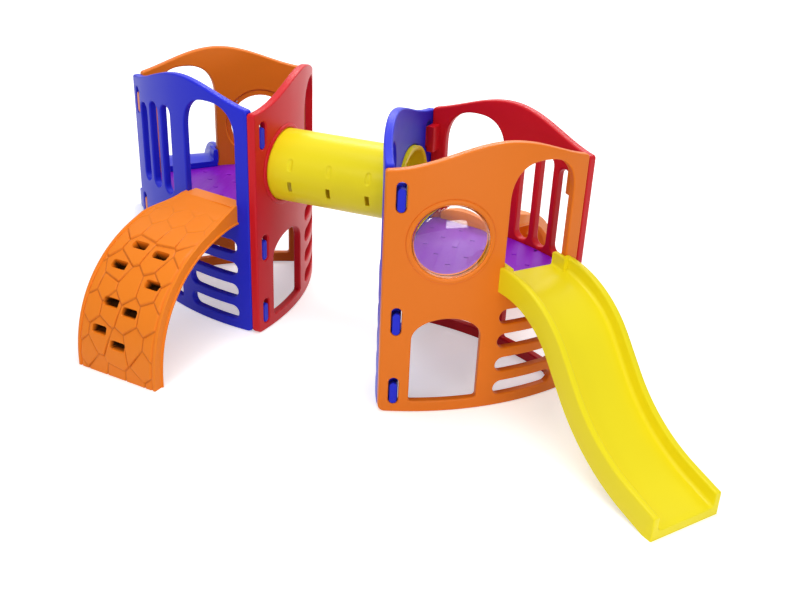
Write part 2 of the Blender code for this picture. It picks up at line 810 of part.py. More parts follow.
def tunnel_ring():
    frame = tunnel_frame()
    inner = TUBE_RADIUS + TUBE_FIT
    near, far = RING_SEAT + FIT, TUBE_END
    made = turned_ring("ring", [(inner, near), (RING_RADIUS, near), (RING_RADIUS, far), (inner, far)], frame)
    shafts = pin_shafts(frame, PIN_ANGLES, inner - CUT_OVER, RING_RADIUS + CUT_OVER, PIN_RADIUS + FIT)
    return combine(made, "DIFFERENCE", [joined("shafts", shafts)])


def ring_pin(degrees):
    inner = TUBE_RADIUS - TUBE_WALL
    return pin_shafts(tunnel_frame(), (degrees,), inner, RING_RADIUS, PIN_RADIUS)[0]


# Things hung in a doorway, built in the wall frame at the doorway. Outwards is -Y there.


def tongue(floor, rail, apron):
    """The part that lies on the sill between the jambs, with a lip down behind the wall.

    Its outer end is an apron with its top at the given height, which laps into the body outside."""
    half = DOOR_WIDTH / 2 - TONGUE_SIDE_GAP
    low = DOOR_SILL + FIT
    back = bow_sag(half, PANEL_THICK) + PANEL_FIT + LIP_PLATE
    rings = []
    for y, base, tall in (
        (-apron[0], apron[1], rail),
        (-TONGUE_LAP, floor, rail),
        (PANEL_THICK / 2, floor, rail),
        (back, floor, rail / 4),
    ):
        section = [(-half, low), (half, low), (half, base + tall)]
        if rail > 0.0:
            section += [(half - TONGUE_RAIL, base + tall), (half - TONGUE_RAIL, base)]
            section += [(TONGUE_RAIL - half, base), (TONGUE_RAIL - half, base + tall)]
        section.append((-half, base + tall))
        rings.append([Vector((x, y, z)) for x, z in section])
    steps = 8
    side = half - TONGUE_STEP
    across = [side * (2 * k / steps - 1) for k in range(steps + 1)]
    plan = [Vector((x, bow_sag(x, PANEL_THICK) + PANEL_FIT)) for x in across]
    plan += [Vector((side, back - TONGUE_STEP)), Vector((-side, back - TONGUE_STEP))]
    return [loft("tongue", rings), standing_prism("lip", plan, PLATFORM_TOP + FIT, low + TONGUE_STEP)]


def wall_face():
    """A cutter that takes away everything behind the outside face of the wall at the doorway."""
    side = RAMP_FOOT_WIDTH / 2 + 2 * CUT_OVER
    steps = 24
    across = [side * (2 * k / steps - 1) for k in range(steps + 1)]
    plan = [Vector((x, bow_sag(x) - PANEL_FIT)) for x in across]
    plan += [Vector((side, PANEL_CHORD / 4)), Vector((-side, PANEL_CHORD / 4))]
    return standing_prism("wall_face", plan, -CUT_OVER, PANEL_CHORD)


def slide_path():
    """The bed from the wall to the foot as (out, height, slope): crest arc, straight run, hollow arc."""
    fall = SLIDE_BED - SLIDE_BED_FOOT
    crest_out = SLIDE_CREST_RADIUS * math.sin(SLIDE_SLOPE)
    crest_fall = SLIDE_CREST_RADIUS * (1 - math.cos(SLIDE_SLOPE))
    hollow_out = SLIDE_HOLLOW_RADIUS * (math.sin(SLIDE_SLOPE) - math.sin(SLIDE_EXIT_SLOPE))
    hollow_fall = SLIDE_HOLLOW_RADIUS * (math.cos(SLIDE_EXIT_SLOPE) - math.cos(SLIDE_SLOPE))
    spare_out = SLIDE_LENGTH - SLIDE_CREST_START - crest_out - hollow_out
    spare_fall = fall - crest_fall - hollow_fall
    steep, gentle = math.tan(SLIDE_SLOPE), math.tan(SLIDE_EXIT_SLOPE)
    run = (spare_fall - gentle * spare_out) / (steep - gentle)
    path = [(WALL_START, SLIDE_BED, 0.0)]
    steps = 8
    for k in range(steps + 1):
        slope = SLIDE_SLOPE * k / steps
        out = SLIDE_CREST_START + SLIDE_CREST_RADIUS * math.sin(slope)
        path.append((out, SLIDE_BED - SLIDE_CREST_RADIUS * (1 - math.cos(slope)), slope))
    top_out = SLIDE_CREST_START + crest_out + run
    top = SLIDE_BED - crest_fall - run * steep
    for k in range(steps + 1):
        slope = SLIDE_SLOPE + (SLIDE_EXIT_SLOPE - SLIDE_SLOPE) * k / steps
        out = top_out + SLIDE_HOLLOW_RADIUS * (math.sin(SLIDE_SLOPE) - math.sin(slope))
        path.append((out, top - SLIDE_HOLLOW_RADIUS * (math.cos(slope) - math.cos(SLIDE_SLOPE)), slope))
    path.append((SLIDE_LENGTH, SLIDE_BED_FOOT, SLIDE_EXIT_SLOPE))
    return path


def station(out, height, slope, section, upright=False):
    """A cross-section of (across, lift) points set square to a path, or upright at its two ends."""
    ring = []
    for across, lift in section:
        if upright:
            ring.append(Vector((across, -out, height + lift / math.cos(slope))))
        else:
            ring.append(Vector((across, -out - lift * math.sin(slope), height + lift * math.cos(slope))))
    return ring


def on_floor(ring):
    return [Vector((p.x, p.y, max(p.z, 0.0))) for p in ring]


def hung(body, name):
    """Turn and shift a body to its place in the doorway, and cut it back to the wall's face."""
    turn, shift = HANGING[name]
    body.data.transform(Matrix.Translation((shift, 0.0, 0.0)) @ Matrix.Rotation(turn, 4, "Z"))
    return combine(body, "DIFFERENCE", [wall_face()])


def wave_slide(name):
    path = slide_path()
    half = SLIDE_WIDTH / 2
    inside = half - SLIDE_CHEEK
    rings = []
    for k, (out, height, slope) in enumerate(path):
        share = out / SLIDE_LENGTH
        cheek = SLIDE_CHEEK_TOP + (SLIDE_CHEEK_FOOT - SLIDE_CHEEK_TOP) * share
        section = [
            (-half, -SLIDE_DEPTH),
            (half, -SLIDE_DEPTH),
            (half, cheek),
            (inside, cheek),
            (inside, 0.0),
            (-inside, 0.0),
            (-inside, cheek),
            (-half, cheek),
        ]
        rings.append(on_floor(station(out, height, slope, section, upright=k in (0, len(path) - 1))))
    made = loft("slide", rings)
    top, bottom = -SLIDE_BED_THICK, -2 * SLIDE_DEPTH
    hollow = [(-inside, top), (inside, top), (inside, bottom), (-inside, bottom)]
    last = SLIDE_LENGTH - SLIDE_FOOT_PLATE
    rings = [station(*spot, hollow) for spot in path if SLIDE_FOOT_PLATE < spot[0] < last]
    combine(made, "DIFFERENCE", [loft("hollow", rings)])
    floor = SLIDE_BED - TONGUE_STEP
    apron = (TONGUE_LAP + TONGUE_STEP, floor)
    return combine(hung(made, name), "UNION", tongue(floor, SLIDE_CHEEK_TOP, apron))


def ramp_spot(degrees):
    """A point on the ramp's face as (out, height, slope), by its angle up from the foot."""
    power = 2 / RAMP_FULLNESS
    wide = math.cos(math.radians(degrees)) ** power if degrees < 90.0 else 0.0
    tall = math.sin(math.radians(degrees)) ** power if degrees > 0.0 else 0.0
    steep = RAMP_TOP * wide ** (RAMP_FULLNESS - 1)
    level = RAMP_REACH * tall ** (RAMP_FULLNESS - 1)
    return RAMP_REACH * wide, RAMP_TOP * tall, math.atan2(steep, level)


def ramp_section(out):
    half = (RAMP_TOP_WIDTH + (RAMP_FOOT_WIDTH - RAMP_TOP_WIDTH) * max(out, 0.0) / RAMP_REACH) / 2
    rim = half - RAMP_RIM_WIDTH
    inside = half - RAMP_FLANGE_THICK
    return [
        (-half, -RAMP_FLANGE),
        (-inside, -RAMP_FLANGE),
        (-inside, -RAMP_SKIN),
        (inside, -RAMP_SKIN),
        (inside, -RAMP_FLANGE),
        (half, -RAMP_FLANGE),
        (half, RAMP_RIM_TALL),
        (rim, RAMP_RIM_TALL),
        (rim, 0.0),
        (-rim, 0.0),
        (-rim, RAMP_RIM_TALL),
        (-half, RAMP_RIM_TALL),
    ]


def ramp_holds():
    holds = []
    reach = RAMP_SKIN + RAMP_RIM_TALL
    for across, degrees in HOLDS:
        out, height, slope = ramp_spot(degrees)
        frame = Matrix.Translation((across, -out, height)) @ Matrix.Rotation(slope, 4, "X")
        low = (-HOLD_WIDTH / 2, -HOLD_TALL / 2, -reach)
        high = (HOLD_WIDTH / 2, HOLD_TALL / 2, reach)
        holds.append(block("hold", low, high, frame))
    return holds


def climbing_ramp(name):
    steps = 16
    rings = [station(WALL_START, RAMP_TOP, 0.0, ramp_section(0.0))]
    for k in range(steps + 1):
        spot = ramp_spot(90.0 - 90.0 * k / steps)
        rings.append(on_floor(station(*spot, ramp_section(spot[0]))))
    made = loft("ramp", rings)
    combine(made, "DIFFERENCE", [joined("holds", ramp_holds())])
    apron = (RAMP_APRON, RAMP_TOP - RAMP_SKIN / 6)
    return combine(hung(made, name), "UNION", tongue(RAMP_LIP_TOP, 0.0, apron))


# Assembly


def tower_frame():
    """The frame of the right tower's tunnel panel, set so that its round hole faces -X on the X axis."""
    target = tunnel_frame() @ Matrix.Translation((0.0, 0.0, -HOLE_HEIGHT))
    return target @ wall_frame(TUNNEL_AT).inverted()


def tower(side, half_turn, finishes):
    root = bpy.data.objects.new(f"{side}_tower", None)
    bpy.context.collection.objects.link(root)
    root.matrix_world = Matrix.Rotation(half_turn, 4, "Z")
    bpy.context.view_layer.update()
    base = tower_frame()
    beside = base @ next_panel_frame()
    frames = {"tunnel": base, "window": beside, "bars": beside @ next_panel_frame()}
    still = Matrix.Identity(4)
    for kind, frame in frames.items():
        placed(panel(kind), f"{side}_{kind}_panel", root, frame, finishes[kind])
    placed(platform(), f"{side}_platform", root, base, finishes["platform"])
    for k, spot in enumerate(screw_spots(), 1):
        placed(platform_screw(spot), f"{side}_platform_screw_{k}", root, base, finishes["steel"])
    pane = frames["window"]
    placed(dome(hole_frame(WINDOW_AT)), f"{side}_window_dome", root, pane, finishes["clear"])
    placed(dome_clamp(hole_frame(WINDOW_AT)), f"{side}_dome_clamp_ring", root, pane, finishes["window"])
    for k, degrees in enumerate(DOME_SCREW_ANGLES, 1):
        placed(dome_screw(hole_frame(WINDOW_AT), degrees), f"{side}_dome_screw_{k}", root, pane, finishes["steel"])
    placed(tunnel_ring(), f"{side}_tunnel_ring", root, still, finishes["tunnel_ring"])
    for k, degrees in enumerate(PIN_ANGLES, 1):
        placed(ring_pin(degrees), f"{side}_tunnel_pin_{k}", root, still, finishes["steel"])
    door = wall_frame(DOOR_AT)
    name = f"{side}_wave_slide"
    placed(wave_slide(name), name, root, frames["window"] @ door, finishes["slide"])
    name = f"{side}_climbing_ramp"
    placed(climbing_ramp(name), name, root, frames["bars"] @ door, finishes["ramp"])
    return root


def centre(roots):
    """Shift everything so that the middle of its footprint is at the origin."""
    bpy.context.view_layer.update()
    points = [t.matrix_world @ v.co for t in bpy.data.objects if t.type == "MESH" for v in t.data.vertices]
    low = Vector([min(p[k] for p in points) for k in range(3)])
    high = Vector([max(p[k] for p in points) for k in range(3)])
    middle = (low + high) / 2
    for root in roots:
        root.location -= Vector((middle.x, middle.y, low.z))
    bpy.context.view_layer.update()


def main():
    clear_scene()
    blue = material("blue_plastic", BLUE, 0.32)
    red = material("red_plastic", RED, 0.32)
    orange = material("orange_plastic", ORANGE, 0.35)
    ramp_orange = material("ramp_orange_plastic", RAMP_ORANGE, 0.42)
    yellow = material("yellow_plastic", YELLOW, 0.35)
    purple = material("purple_plastic", PURPLE, 0.45)
    clear = material("clear_dome", CLEAR, 0.05, transmission=0.9)
    steel = material("zinc_steel", STEEL, 0.4, metallic=1.0)
    shared = {
        "window": orange,
        "platform": purple,
        "clear": clear,
        "steel": steel,
        "tunnel_ring": yellow,
        "ramp": ramp_orange,
    }
    right = tower("right", 0.0, {**shared, "tunnel": blue, "bars": red, "slide": yellow})
    left = tower("left", math.pi, {**shared, "tunnel": red, "bars": blue, "slide": blue})
    tube_home = bpy.data.objects.new("tunnel_middle", None)
    bpy.context.collection.objects.link(tube_home)
    placed(crawl_tunnel(), "crawl_tunnel", tube_home, Matrix.Identity(4), yellow)
    centre((right, left, tube_home))


main()
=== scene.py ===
"""Looks of the modular climbing frame: finer moulded shapes and finishes over the fixed frame.

Lengths are in metres. A panel is made flat, as outline loops with soft edges, and then bent to its bow.
Slides and ramps are made in the frame of their doorway: X across, Y into the tower, Z up."""

import json
import random
from math import asin, atan2, copysign, cos, hypot, pi, radians, sin, sqrt, tan, tau

import bmesh
import bpy
from mathutils import Matrix, Vector
from mathutils.kdtree import KDTree

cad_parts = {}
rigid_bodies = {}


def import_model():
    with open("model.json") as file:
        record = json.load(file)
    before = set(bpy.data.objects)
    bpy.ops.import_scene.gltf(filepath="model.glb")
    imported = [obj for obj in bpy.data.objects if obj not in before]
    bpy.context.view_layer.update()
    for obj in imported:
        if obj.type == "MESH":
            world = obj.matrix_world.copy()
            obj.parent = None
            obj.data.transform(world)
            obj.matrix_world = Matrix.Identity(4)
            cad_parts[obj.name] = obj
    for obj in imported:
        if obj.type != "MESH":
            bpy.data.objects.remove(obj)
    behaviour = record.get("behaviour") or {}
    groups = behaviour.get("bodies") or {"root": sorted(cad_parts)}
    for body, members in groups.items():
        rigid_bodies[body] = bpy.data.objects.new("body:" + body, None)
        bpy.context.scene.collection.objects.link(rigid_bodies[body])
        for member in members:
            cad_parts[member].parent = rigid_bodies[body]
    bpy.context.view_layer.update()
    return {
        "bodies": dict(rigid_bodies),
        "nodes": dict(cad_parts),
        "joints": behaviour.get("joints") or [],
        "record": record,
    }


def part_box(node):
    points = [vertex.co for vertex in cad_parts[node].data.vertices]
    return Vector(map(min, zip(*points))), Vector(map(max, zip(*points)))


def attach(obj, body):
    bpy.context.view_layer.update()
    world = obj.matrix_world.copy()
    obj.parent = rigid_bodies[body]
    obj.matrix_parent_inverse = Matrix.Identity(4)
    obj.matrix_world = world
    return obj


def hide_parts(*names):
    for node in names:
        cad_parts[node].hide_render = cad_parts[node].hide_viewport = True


# Panels
PANEL_CHORD = 1.0
PANEL_BOW = 0.092
BOW_RADIUS = (PANEL_CHORD**2 / 4 + PANEL_BOW**2) / (2 * PANEL_BOW)
BOW_CENTRE = Vector((PANEL_CHORD / 2, BOW_RADIUS - PANEL_BOW))
PANEL_THICK = 0.042
PANEL_LOW_EDGE = 1.215
PANEL_CROWN = 0.118
CROWN_AT = 0.53
CROWN_HALF = 0.54
PANEL_EDGE = 0.009  # rounding along every edge of a panel
FOOT_ROUND = 0.030
HEAD_ROUND = 0.016
STRIP = 0.022  # width of the flat strips that make up a bowed wall
WELD = 1e-6
CUT_SNAP = 1e-7
NEAR = 1e-5  # a point this close to a face counts as lying in it

# Openings of a panel
DOOR_AT = 0.722
DOOR_WIDTH = 0.336
DOOR_SILL = 0.665
DOOR_SPRING = 1.045
DOOR_HEAD = 1.236
DOOR_FULLNESS = 2.5
ARCH_AT = 0.298
ARCH_WIDTH = 0.328
ARCH_SILL = 0.060
ARCH_SPRING = 0.392
ARCH_HEAD = 0.500
ARCH_FULLNESS = 2.0
SILL_ROUND = 0.014
LOUVRE_AT = 0.718
LOUVRE_LENGTH = 0.332
LOUVRE_TALL = 0.075
LOUVRE_LOW = 0.058
LOUVRE_PITCH = 0.129
LOUVRE_COUNT = 4
BAR_SLOT_AT = 0.152
BAR_SLOT_PITCH = 0.121
BAR_SLOT_WIDTH = 0.084
BAR_SLOT_LOW = 0.660
BAR_SLOT_TOPS = (1.100, 1.135, 1.145)
TUNNEL_AT = 0.272
WINDOW_AT = 0.290
HOLE_HEIGHT = 0.885

# Corner slots and the hooks that fill them
SLOT_AT = 0.066
SLOT_WIDTH = 0.048
SLOT_TALL = 0.142
SLOT_LOWS = (0.044, 0.414, 1.022)
TAB_WIDTH = 0.038
TAB_TALL = 0.112
TAB_RECESS = 0.003
TAB_EDGE = 0.006
ARM_DEPTH = 0.040
ARM_REACH = 0.026
ARM_SPARE = 0.012
ARM_EDGE = 0.005

# Ledges and platform
PLATFORM_TOP = 0.645
PLATFORM_THICK = 0.045
PLATFORM_GAP = 0.003
PLATFORM_ROUND = 0.020
PLATFORM_EDGE = 0.004
MARK_LENGTH = 0.026
MARK_WIDTH = 0.009
MARK_DEPTH = 0.007
MARK_PITCH_ALONG = 0.148
MARK_PITCH_ACROSS = 0.104
MARK_BORDER = 0.040
MARK_EDGE = MARK_DEPTH / 4
MARK_ROWS = 7  # rows and columns to each side of the middle that are tried
MARK_COLUMNS = 5
MARK_ROW_SHIFT = 0.3  # of the pattern off the middle, in pitches
MARK_COLUMN_SHIFT = 0.15
LEDGE_PLACES = (0.27, 0.73)
LEDGE_LENGTH = 0.200
LEDGE_DEPTH = 0.034
LEDGE_TALL = 0.045
LEDGE_NOSE = 0.016
LEDGE_EDGE = 0.004

# Tunnel, its panels' rings and the window dome
TUBE_RADIUS = 0.1885
TUBE_WALL = 0.008
TUNNEL_GAP = 0.650
TUBE_END = 0.062
TUBE_FIT = 0.0008
TUBE_ROUND = 0.003
TUBE_AROUND = 360
TUBE_ALONG = 200
RING_RADIUS = 0.2040
RING_SEAT = 0.030
TUBE_BEAD = 0.0235
GRIP_PITCH = 0.213
GRIP_WIDTH = 0.026
GRIP_TALL = 0.062
GRIP_ANGLE = radians(-16.0)
OVAL_ANGLE = radians(20.0)
OVAL_DEEP = 0.0045
OVAL_EDGE = 0.0025
WINDOW_RADIUS = 0.178
WINDOW_BEAD = 0.0255
BEAD_PROUD = 0.0075
BEAD_SUNK = 0.001
BEAD_FULLNESS = 0.8
DOME_SEAT = 0.024
DOME_POCKET_RADIUS = 0.198
DOME_WALL = 0.004
DOME_PROUD = 0.058

TUBE_HOLE = TUBE_RADIUS + TUBE_FIT
# The rings on the panels: place, inner and outer radius, and radius and depth of the pocket behind
BEADS = {
    "window": (WINDOW_AT, WINDOW_RADIUS, WINDOW_RADIUS + WINDOW_BEAD, DOME_POCKET_RADIUS, DOME_SEAT),
    "tunnel": (TUNNEL_AT, TUBE_HOLE, TUBE_HOLE + TUBE_BEAD, RING_RADIUS + TUBE_FIT, RING_SEAT),
}

# Tongues, slides and ramps
TONGUE_SIDE_GAP = 0.004
TONGUE_RAIL = 0.024
TONGUE_EDGE = 0.006
TONGUE_LAP = 0.018  # how far a tongue runs on inside the body in front of the wall
TONGUE_STEP = 0.0002
LIP_PLATE = 0.018
LIP_SHY = 0.001
LIP_EDGE = 0.002
PANEL_FIT = 0.0008
FIT = 0.0003
HANGING = {
    "right_wave_slide": (radians(4.0), 0.0),
    "left_wave_slide": (radians(-8.0), 0.0),
    "right_climbing_ramp": (radians(4.5), 0.015),
    "left_climbing_ramp": (radians(4.5), -0.045),
}
SLIDE_WIDTH = 0.382
SLIDE_LENGTH = 1.102
SLIDE_CHEEK = 0.032
SLIDE_BED = 0.695
SLIDE_BED_FOOT = 0.058
SLIDE_BED_THICK = 0.028
SLIDE_BED_SINK = 0.014  # the bed lies this much under the line of its path
SLIDE_DEPTH = 0.075
SLIDE_CHEEK_TOP = 0.050
SLIDE_CHEEK_FOOT = 0.056
SLIDE_CREST_START = 0.020
SLIDE_SLOPE = radians(51.0)
SLIDE_EXIT_SLOPE = radians(15.0)
SLIDE_CREST_RADIUS = 0.500
SLIDE_HOLLOW_RADIUS = 0.800
SLIDE_FOOT_PLATE = 0.030
SLIDE_FILLET = 0.020
SLIDE_CHEEK_ROUND = 0.010
SLIDE_FOOT_ROUND = 0.005
SLIDE_SHUT = 0.004  # height that is left of the hollow where a plate shuts it
SLIDE_STEP = 0.001  # length of the step from open to shut
MIN_ROUND = 0.001
WALL_START = -0.040
RAMP_TOP_WIDTH = 0.444
RAMP_FOOT_WIDTH = 0.494
RAMP_REACH = 0.733
RAMP_TOP = 0.672
RAMP_FULLNESS = 2.26
RAMP_SKIN = 0.022
RAMP_FLANGE = 0.052
RAMP_FLANGE_THICK = 0.026
RAMP_RIM_WIDTH = 0.018
RAMP_RIM_TALL = 0.006
RAMP_LIP = 0.007  # the flange's lower edge stands out by this much
RAMP_LIP_TALL = 0.010
RAMP_LIP_TOP = 0.722
RAMP_APRON = 0.290
RAMP_LIP_FLAT = 0.016
RAMP_SWEEP = 0.230  # the rims run in to the jambs over this last part below the wall
RAMP_RIM_SLANT = 0.004
RAMP_RIM_LOSS = 0.7  # share of its height that the rim loses on the apron
RAMP_FLANGE_ROUND = 0.003
RAMP_ROWS = 340
RAMP_COLUMNS = 144
HOLD_WIDTH = 0.085
HOLD_TALL = 0.040
HOLD_ROUND = 0.009
HOLD_DEEP = 0.074
HOLD_SHALLOW = 0.044
# painted shade: the dark colour the holds take on deep inside, where shade falls
HOLD_PAINTED_SHADE = (0.055, 0.020, 0.004)
HOLD_SKIN = 0.007
# Place across the ramp, and angle up from the foot
HOLDS = ((-0.066, 57.9), (0.078, 55.6), (-0.112, 46.3), (0.124, 42.0))
HOLDS += ((-0.071, 29.7), (0.051, 27.5), (-0.111, 16.9), (0.010, 12.4))
HOLD_BRIM = 0.002  # the fall into a hold starts this far outside its outline
HOLD_EDGE = 0.006  # and is as wide as this
HOLD_LIT = 0.012  # down to this depth a hold keeps the ramp's colour, without painted shade
HOLD_DIM = 0.010  # and over this further depth painted shade darkens it
STONE_WIDE = 0.116
STONE_TALL = 0.158
STONE_NEST = 0.75  # pitch of the rows of stones, as a share of their height
STONE_STRAY = 0.014  # most that a stone strays across the ramp
STONE_DRIFT = 0.016  # and along it
STONE_APART = 0.80  # least distance from a hold's own stone, as a share of a stone's width
STONE_RELIEF = 0.0115
STONE_STEP = 0.0058
STONE_UPPER = 0.22  # relief at a stone's upper end, as a share of that at its lower end
STONE_BELOW_HOLD = 0.020
STONE_MARGIN = 0.012
STONE_FULL = (58.0, 74.0)  # degrees up from the foot between which the full relief falls off
STONE_END = (80.0, 84.0)  # and between which the faint rest of it ends
STONE_FAINT = 0.3
STONE_SEED = 11
STONE_SHADE = 0.30  # how far painted shade darkens the grooves between the stones, towards the holds' painted shade

# Linear colours. Each plastic: its colour, roughness, grain and the painted shade of its recesses
PLASTICS = {
    "blue": ((0.012, 0.020, 0.640), 0.40),
    "red": ((0.620, 0.006, 0.014), 0.38),
    "orange": ((0.820, 0.190, 0.010), 0.38),
    "ramp_orange": ((0.940, 0.240, 0.010), 0.40, 1.5, HOLD_PAINTED_SHADE),
    "yellow": ((0.870, 0.735, 0.010), 0.33),
    "purple": ((0.245, 0.006, 0.540), 0.42, 1.3),
}
WHITE = (1.0, 1.0, 1.0, 1.0)
FLOOR_COLOUR = (0.92, 0.92, 0.92, 1.0)
BUBBLE_COLOUR = (0.97, 0.98, 1.0, 1.0)
BUBBLE_SHADOW = (0.92, 0.93, 0.95, 1.0)
ZINC_TONES = ((0.50, 0.51, 0.53, 1.0), (0.70, 0.71, 0.73, 1.0))
CLOUDING = (0.97, 1.03)  # darkest and lightest share of a plastic's colour
CAD_FINISHES = {"screw": "zinc", "_pin_": "zinc", "tunnel_ring": "yellow", "clamp_ring": "orange"}

# Camera and studio
CAMERA_FROM_TUNNEL = Vector((1.9921, -4.5012, 2.6780))
CAMERA_YAW = radians(-20.099)
CAMERA_PITCH = radians(27.021)
CAMERA_ROLL = radians(2.645)
CAMERA_LENS = 45.503
CAMERA_SENSOR = 36.0
FLOOR_SIZE = 40.0
FLOOR_DROP = 0.0005
WORLD_LIGHT = 0.46
FLOOR_GLOW = (0.42, 1.0)  # white on top of the floor's own light and shade, near the object and far off
FLOOR_FADE = (2.0, 4.6)  # distances from the middle between which that white grows
# Each lamp: name, place, the point it faces, size and power in watts
LAMPS = (
    ("front_softbox", (3.1, -3.0, 1.3), (0.6, -0.5, 0.85), (1.6, 0.8), 29.0),
    ("back_softbox", (-0.2, 2.4, 3.2), (0.0, 0.0, 0.8), (3.2, 0.7), 54.0),
    ("top_softbox", (0.2, -0.6, 4.9), (0.1, -0.4, 0.0), (2.6, 2.2), 86.0),
    ("left_softbox", (-0.6, -3.4, 3.0), (-1.3, 0.7, 1.0), (0.9, 0.7), 22.0),
)


# Plan geometry of a bowed panel, in its own frame: X along the chord, Y into the tower


def bow_angle(along):
    return asin((along - PANEL_CHORD / 2) / BOW_RADIUS)


def bow_point(angle, inset=0.0):
    return BOW_CENTRE + (BOW_RADIUS - inset) * Vector((sin(angle), -cos(angle)))


def bow_sag(across, inset=0.0):
    """How far the wall face curves inwards at a distance to the side of a wall frame."""
    radius = BOW_RADIUS - inset
    return inset + radius - sqrt(radius**2 - across**2)


def placed(x, y, z=0.0, turn=0.0):
    """A turn about the upright axis, and then a move."""
    return Matrix.Translation((x, y, z)) @ Matrix.Rotation(turn, 4, "Z")


def wall_frame(along, height=0.0):
    return placed(*bow_point(bow_angle(along)), height, bow_angle(along))


def next_panel_frame():
    return placed(PANEL_CHORD, 0.0, turn=radians(120.0))


def tower_frame():
    """The right tower's tunnel panel, seen from the middle of the tunnel."""
    return placed(TUNNEL_GAP / 2, 0.0, turn=-pi / 2) @ wall_frame(TUNNEL_AT).inverted()


def to_next(point):
    return (next_panel_frame() @ point.to_3d()).xy


def to_previous(point):
    return (next_panel_frame().inverted() @ point.to_3d()).xy


def circles_meet(centre_a, radius_a, centre_b, radius_b, near):
    """The meeting point of two circles that lies nearest to a given point."""
    line = centre_b - centre_a
    apart = line.length
    along = (apart**2 + radius_a**2 - radius_b**2) / (2 * apart)
    across = sqrt(radius_a**2 - along**2)
    foot = centre_a + line * (along / apart)
    side = Vector((-line.y, line.x)) * (across / apart)
    return min((foot + side, foot - side), key=lambda spot: (spot - near).length)


def angle_of(point):
    offset = point - BOW_CENTRE
    return atan2(offset.x, -offset.y)


def panel_ends():
    """Bow angles of a panel's ends on its outside face: flush at the left, butted at the right."""
    butt = BOW_RADIUS - PANEL_THICK - PANEL_FIT
    end = circles_meet(BOW_CENTRE, BOW_RADIUS, to_next(BOW_CENTRE), butt, Vector((PANEL_CHORD, 0.0)))
    return bow_angle(0.0), angle_of(end)


def end_lean():
    """Slant of a panel's ends, from the corner angle between two bowed panels."""
    return tan(radians(60.0) + 2 * abs(bow_angle(0.0)) - pi / 2)


# Outlines of (across, height) points


def spread(first, last, steps):
    """Evenly spaced values, with both ends."""
    return [first + (last - first) * k / steps for k in range(steps + 1)]


def rounded(corners, steps=6):
    """A polygon from (x, y, radius) corners, each with a radius turned into an arc."""
    points = []
    for k, (x, y, radius) in enumerate(corners):
        here = Vector((x, y))
        if radius <= 0.0:
            points.append(here)
            continue
        before = (Vector(corners[k - 1][:2]) - here).normalized()
        after = (Vector(corners[(k + 1) % len(corners)][:2]) - here).normalized()
        half = before.angle(after) / 2
        centre = here + (before + after).normalized() * (radius / sin(half))
        start = here + before * (radius / tan(half)) - centre
        end = here + after * (radius / tan(half)) - centre
        sweep = start.angle_signed(end)
        points += [centre + start @ Matrix.Rotation(turn, 2) for turn in spread(0.0, sweep, steps)]
    return points


def mirrored(corners):
    return [(-x, y, radius) for x, y, radius in corners[::-1]]


def circle(radius, steps=96, centre=(0.0, 0.0)):
    turns = spread(0.0, tau, steps)[:-1]
    return [Vector(centre) + radius * Vector((cos(turn), sin(turn))) for turn in turns]


def upright_slot(width, low, high, steps=12):
    radius = width / 2
    points = []
    for middle, first in ((low + radius, pi), (high - radius, 0.0)):
        for angle in spread(first, first + pi, steps):
            points.append(Vector((radius * cos(angle), middle + radius * sin(angle))))
    return points


def level_slot(length, low, tall):
    """The upright slot laid on its side, standing on a given height."""
    slot = upright_slot(tall, -length / 2, length / 2)
    return [Vector((point.y, low + tall / 2 - point.x)) for point in slot]


def arch(width, sill, spring, head, fullness, steps=32):
    """An arched opening with soft corners at the sill; fullness 2 is an ellipse, and more is squarer."""
    half = width / 2
    corners = [(-half, sill, SILL_ROUND), (half, sill, SILL_ROUND)]
    for angle in spread(0.0, pi, steps):
        across = copysign(abs(cos(angle)) ** (2 / fullness), cos(angle))
        rise = abs(sin(angle)) ** (2 / fullness)
        corners.append((half * across, spring + (head - spring) * rise, 0.0))
    return rounded(corners)


def top_edge(along):
    reach = abs(along - CROWN_AT) / CROWN_HALF
    if reach >= 1.0:
        return PANEL_LOW_EDGE
    return PANEL_LOW_EDGE + PANEL_CROWN * 0.5 * (1.0 + cos(pi * reach))


def at_depth(outline, depth):
    """An outline of (across, height) points as points in space at one depth."""
    return [Vector((p.x, depth, p.y)) for p in outline]


def edge_steps(radius, steps):
    """Steps round an edge of a given radius, as (short of the end, in from the side)."""
    return [(radius * (1 - sin(turn)), radius * (1 - cos(turn))) for turn in spread(0.0, pi / 2, steps)]


def smooth_step(value):
    value = min(max(value, 0.0), 1.0)
    return value * value * (3.0 - 2.0 * value)


def fall_off(value, whole, gone):
    """One up to a first value, then smoothly down to nought at a second one."""
    return smooth_step((gone - value) / (gone - whole))


# Mesh work


def bridge(work, near, far):
    """Join two loops of vertices that match one to one."""
    for j in range(len(near)):
        beside = (j + 1) % len(near)
        work.faces.new((near[j], near[beside], far[beside], far[j]))


def skin(work, rings, closed=False, capped=True):
    """Join rings of points that match one to one into a surface inside a bmesh."""
    rows = [[work.verts.new(point) for point in ring] for ring in rings]
    for k in range(len(rows) - (0 if closed else 1)):
        bridge(work, rows[k], rows[(k + 1) % len(rows)])
    if capped and not closed:
        work.faces.new(rows[0])
        work.faces.new(rows[-1])
    return rows


def add(work, part, matrix=Matrix.Identity(4)):
    """Copy one bmesh into another through a matrix, and free it."""
    part.normal_update()
    bmesh.ops.recalc_face_normals(part, faces=part.faces)
    mesh = bpy.data.meshes.new("step")
    part.to_mesh(mesh)
    part.free()
    mesh.transform(matrix)
    work.from_mesh(mesh)
    bpy.data.meshes.remove(mesh)


def soften(work, edge, segments):
    """Round every edge."""
    bmesh.ops.bevel(work, geom=work.edges[:], offset=edge, segments=segments, profile=0.5, affect="EDGES")


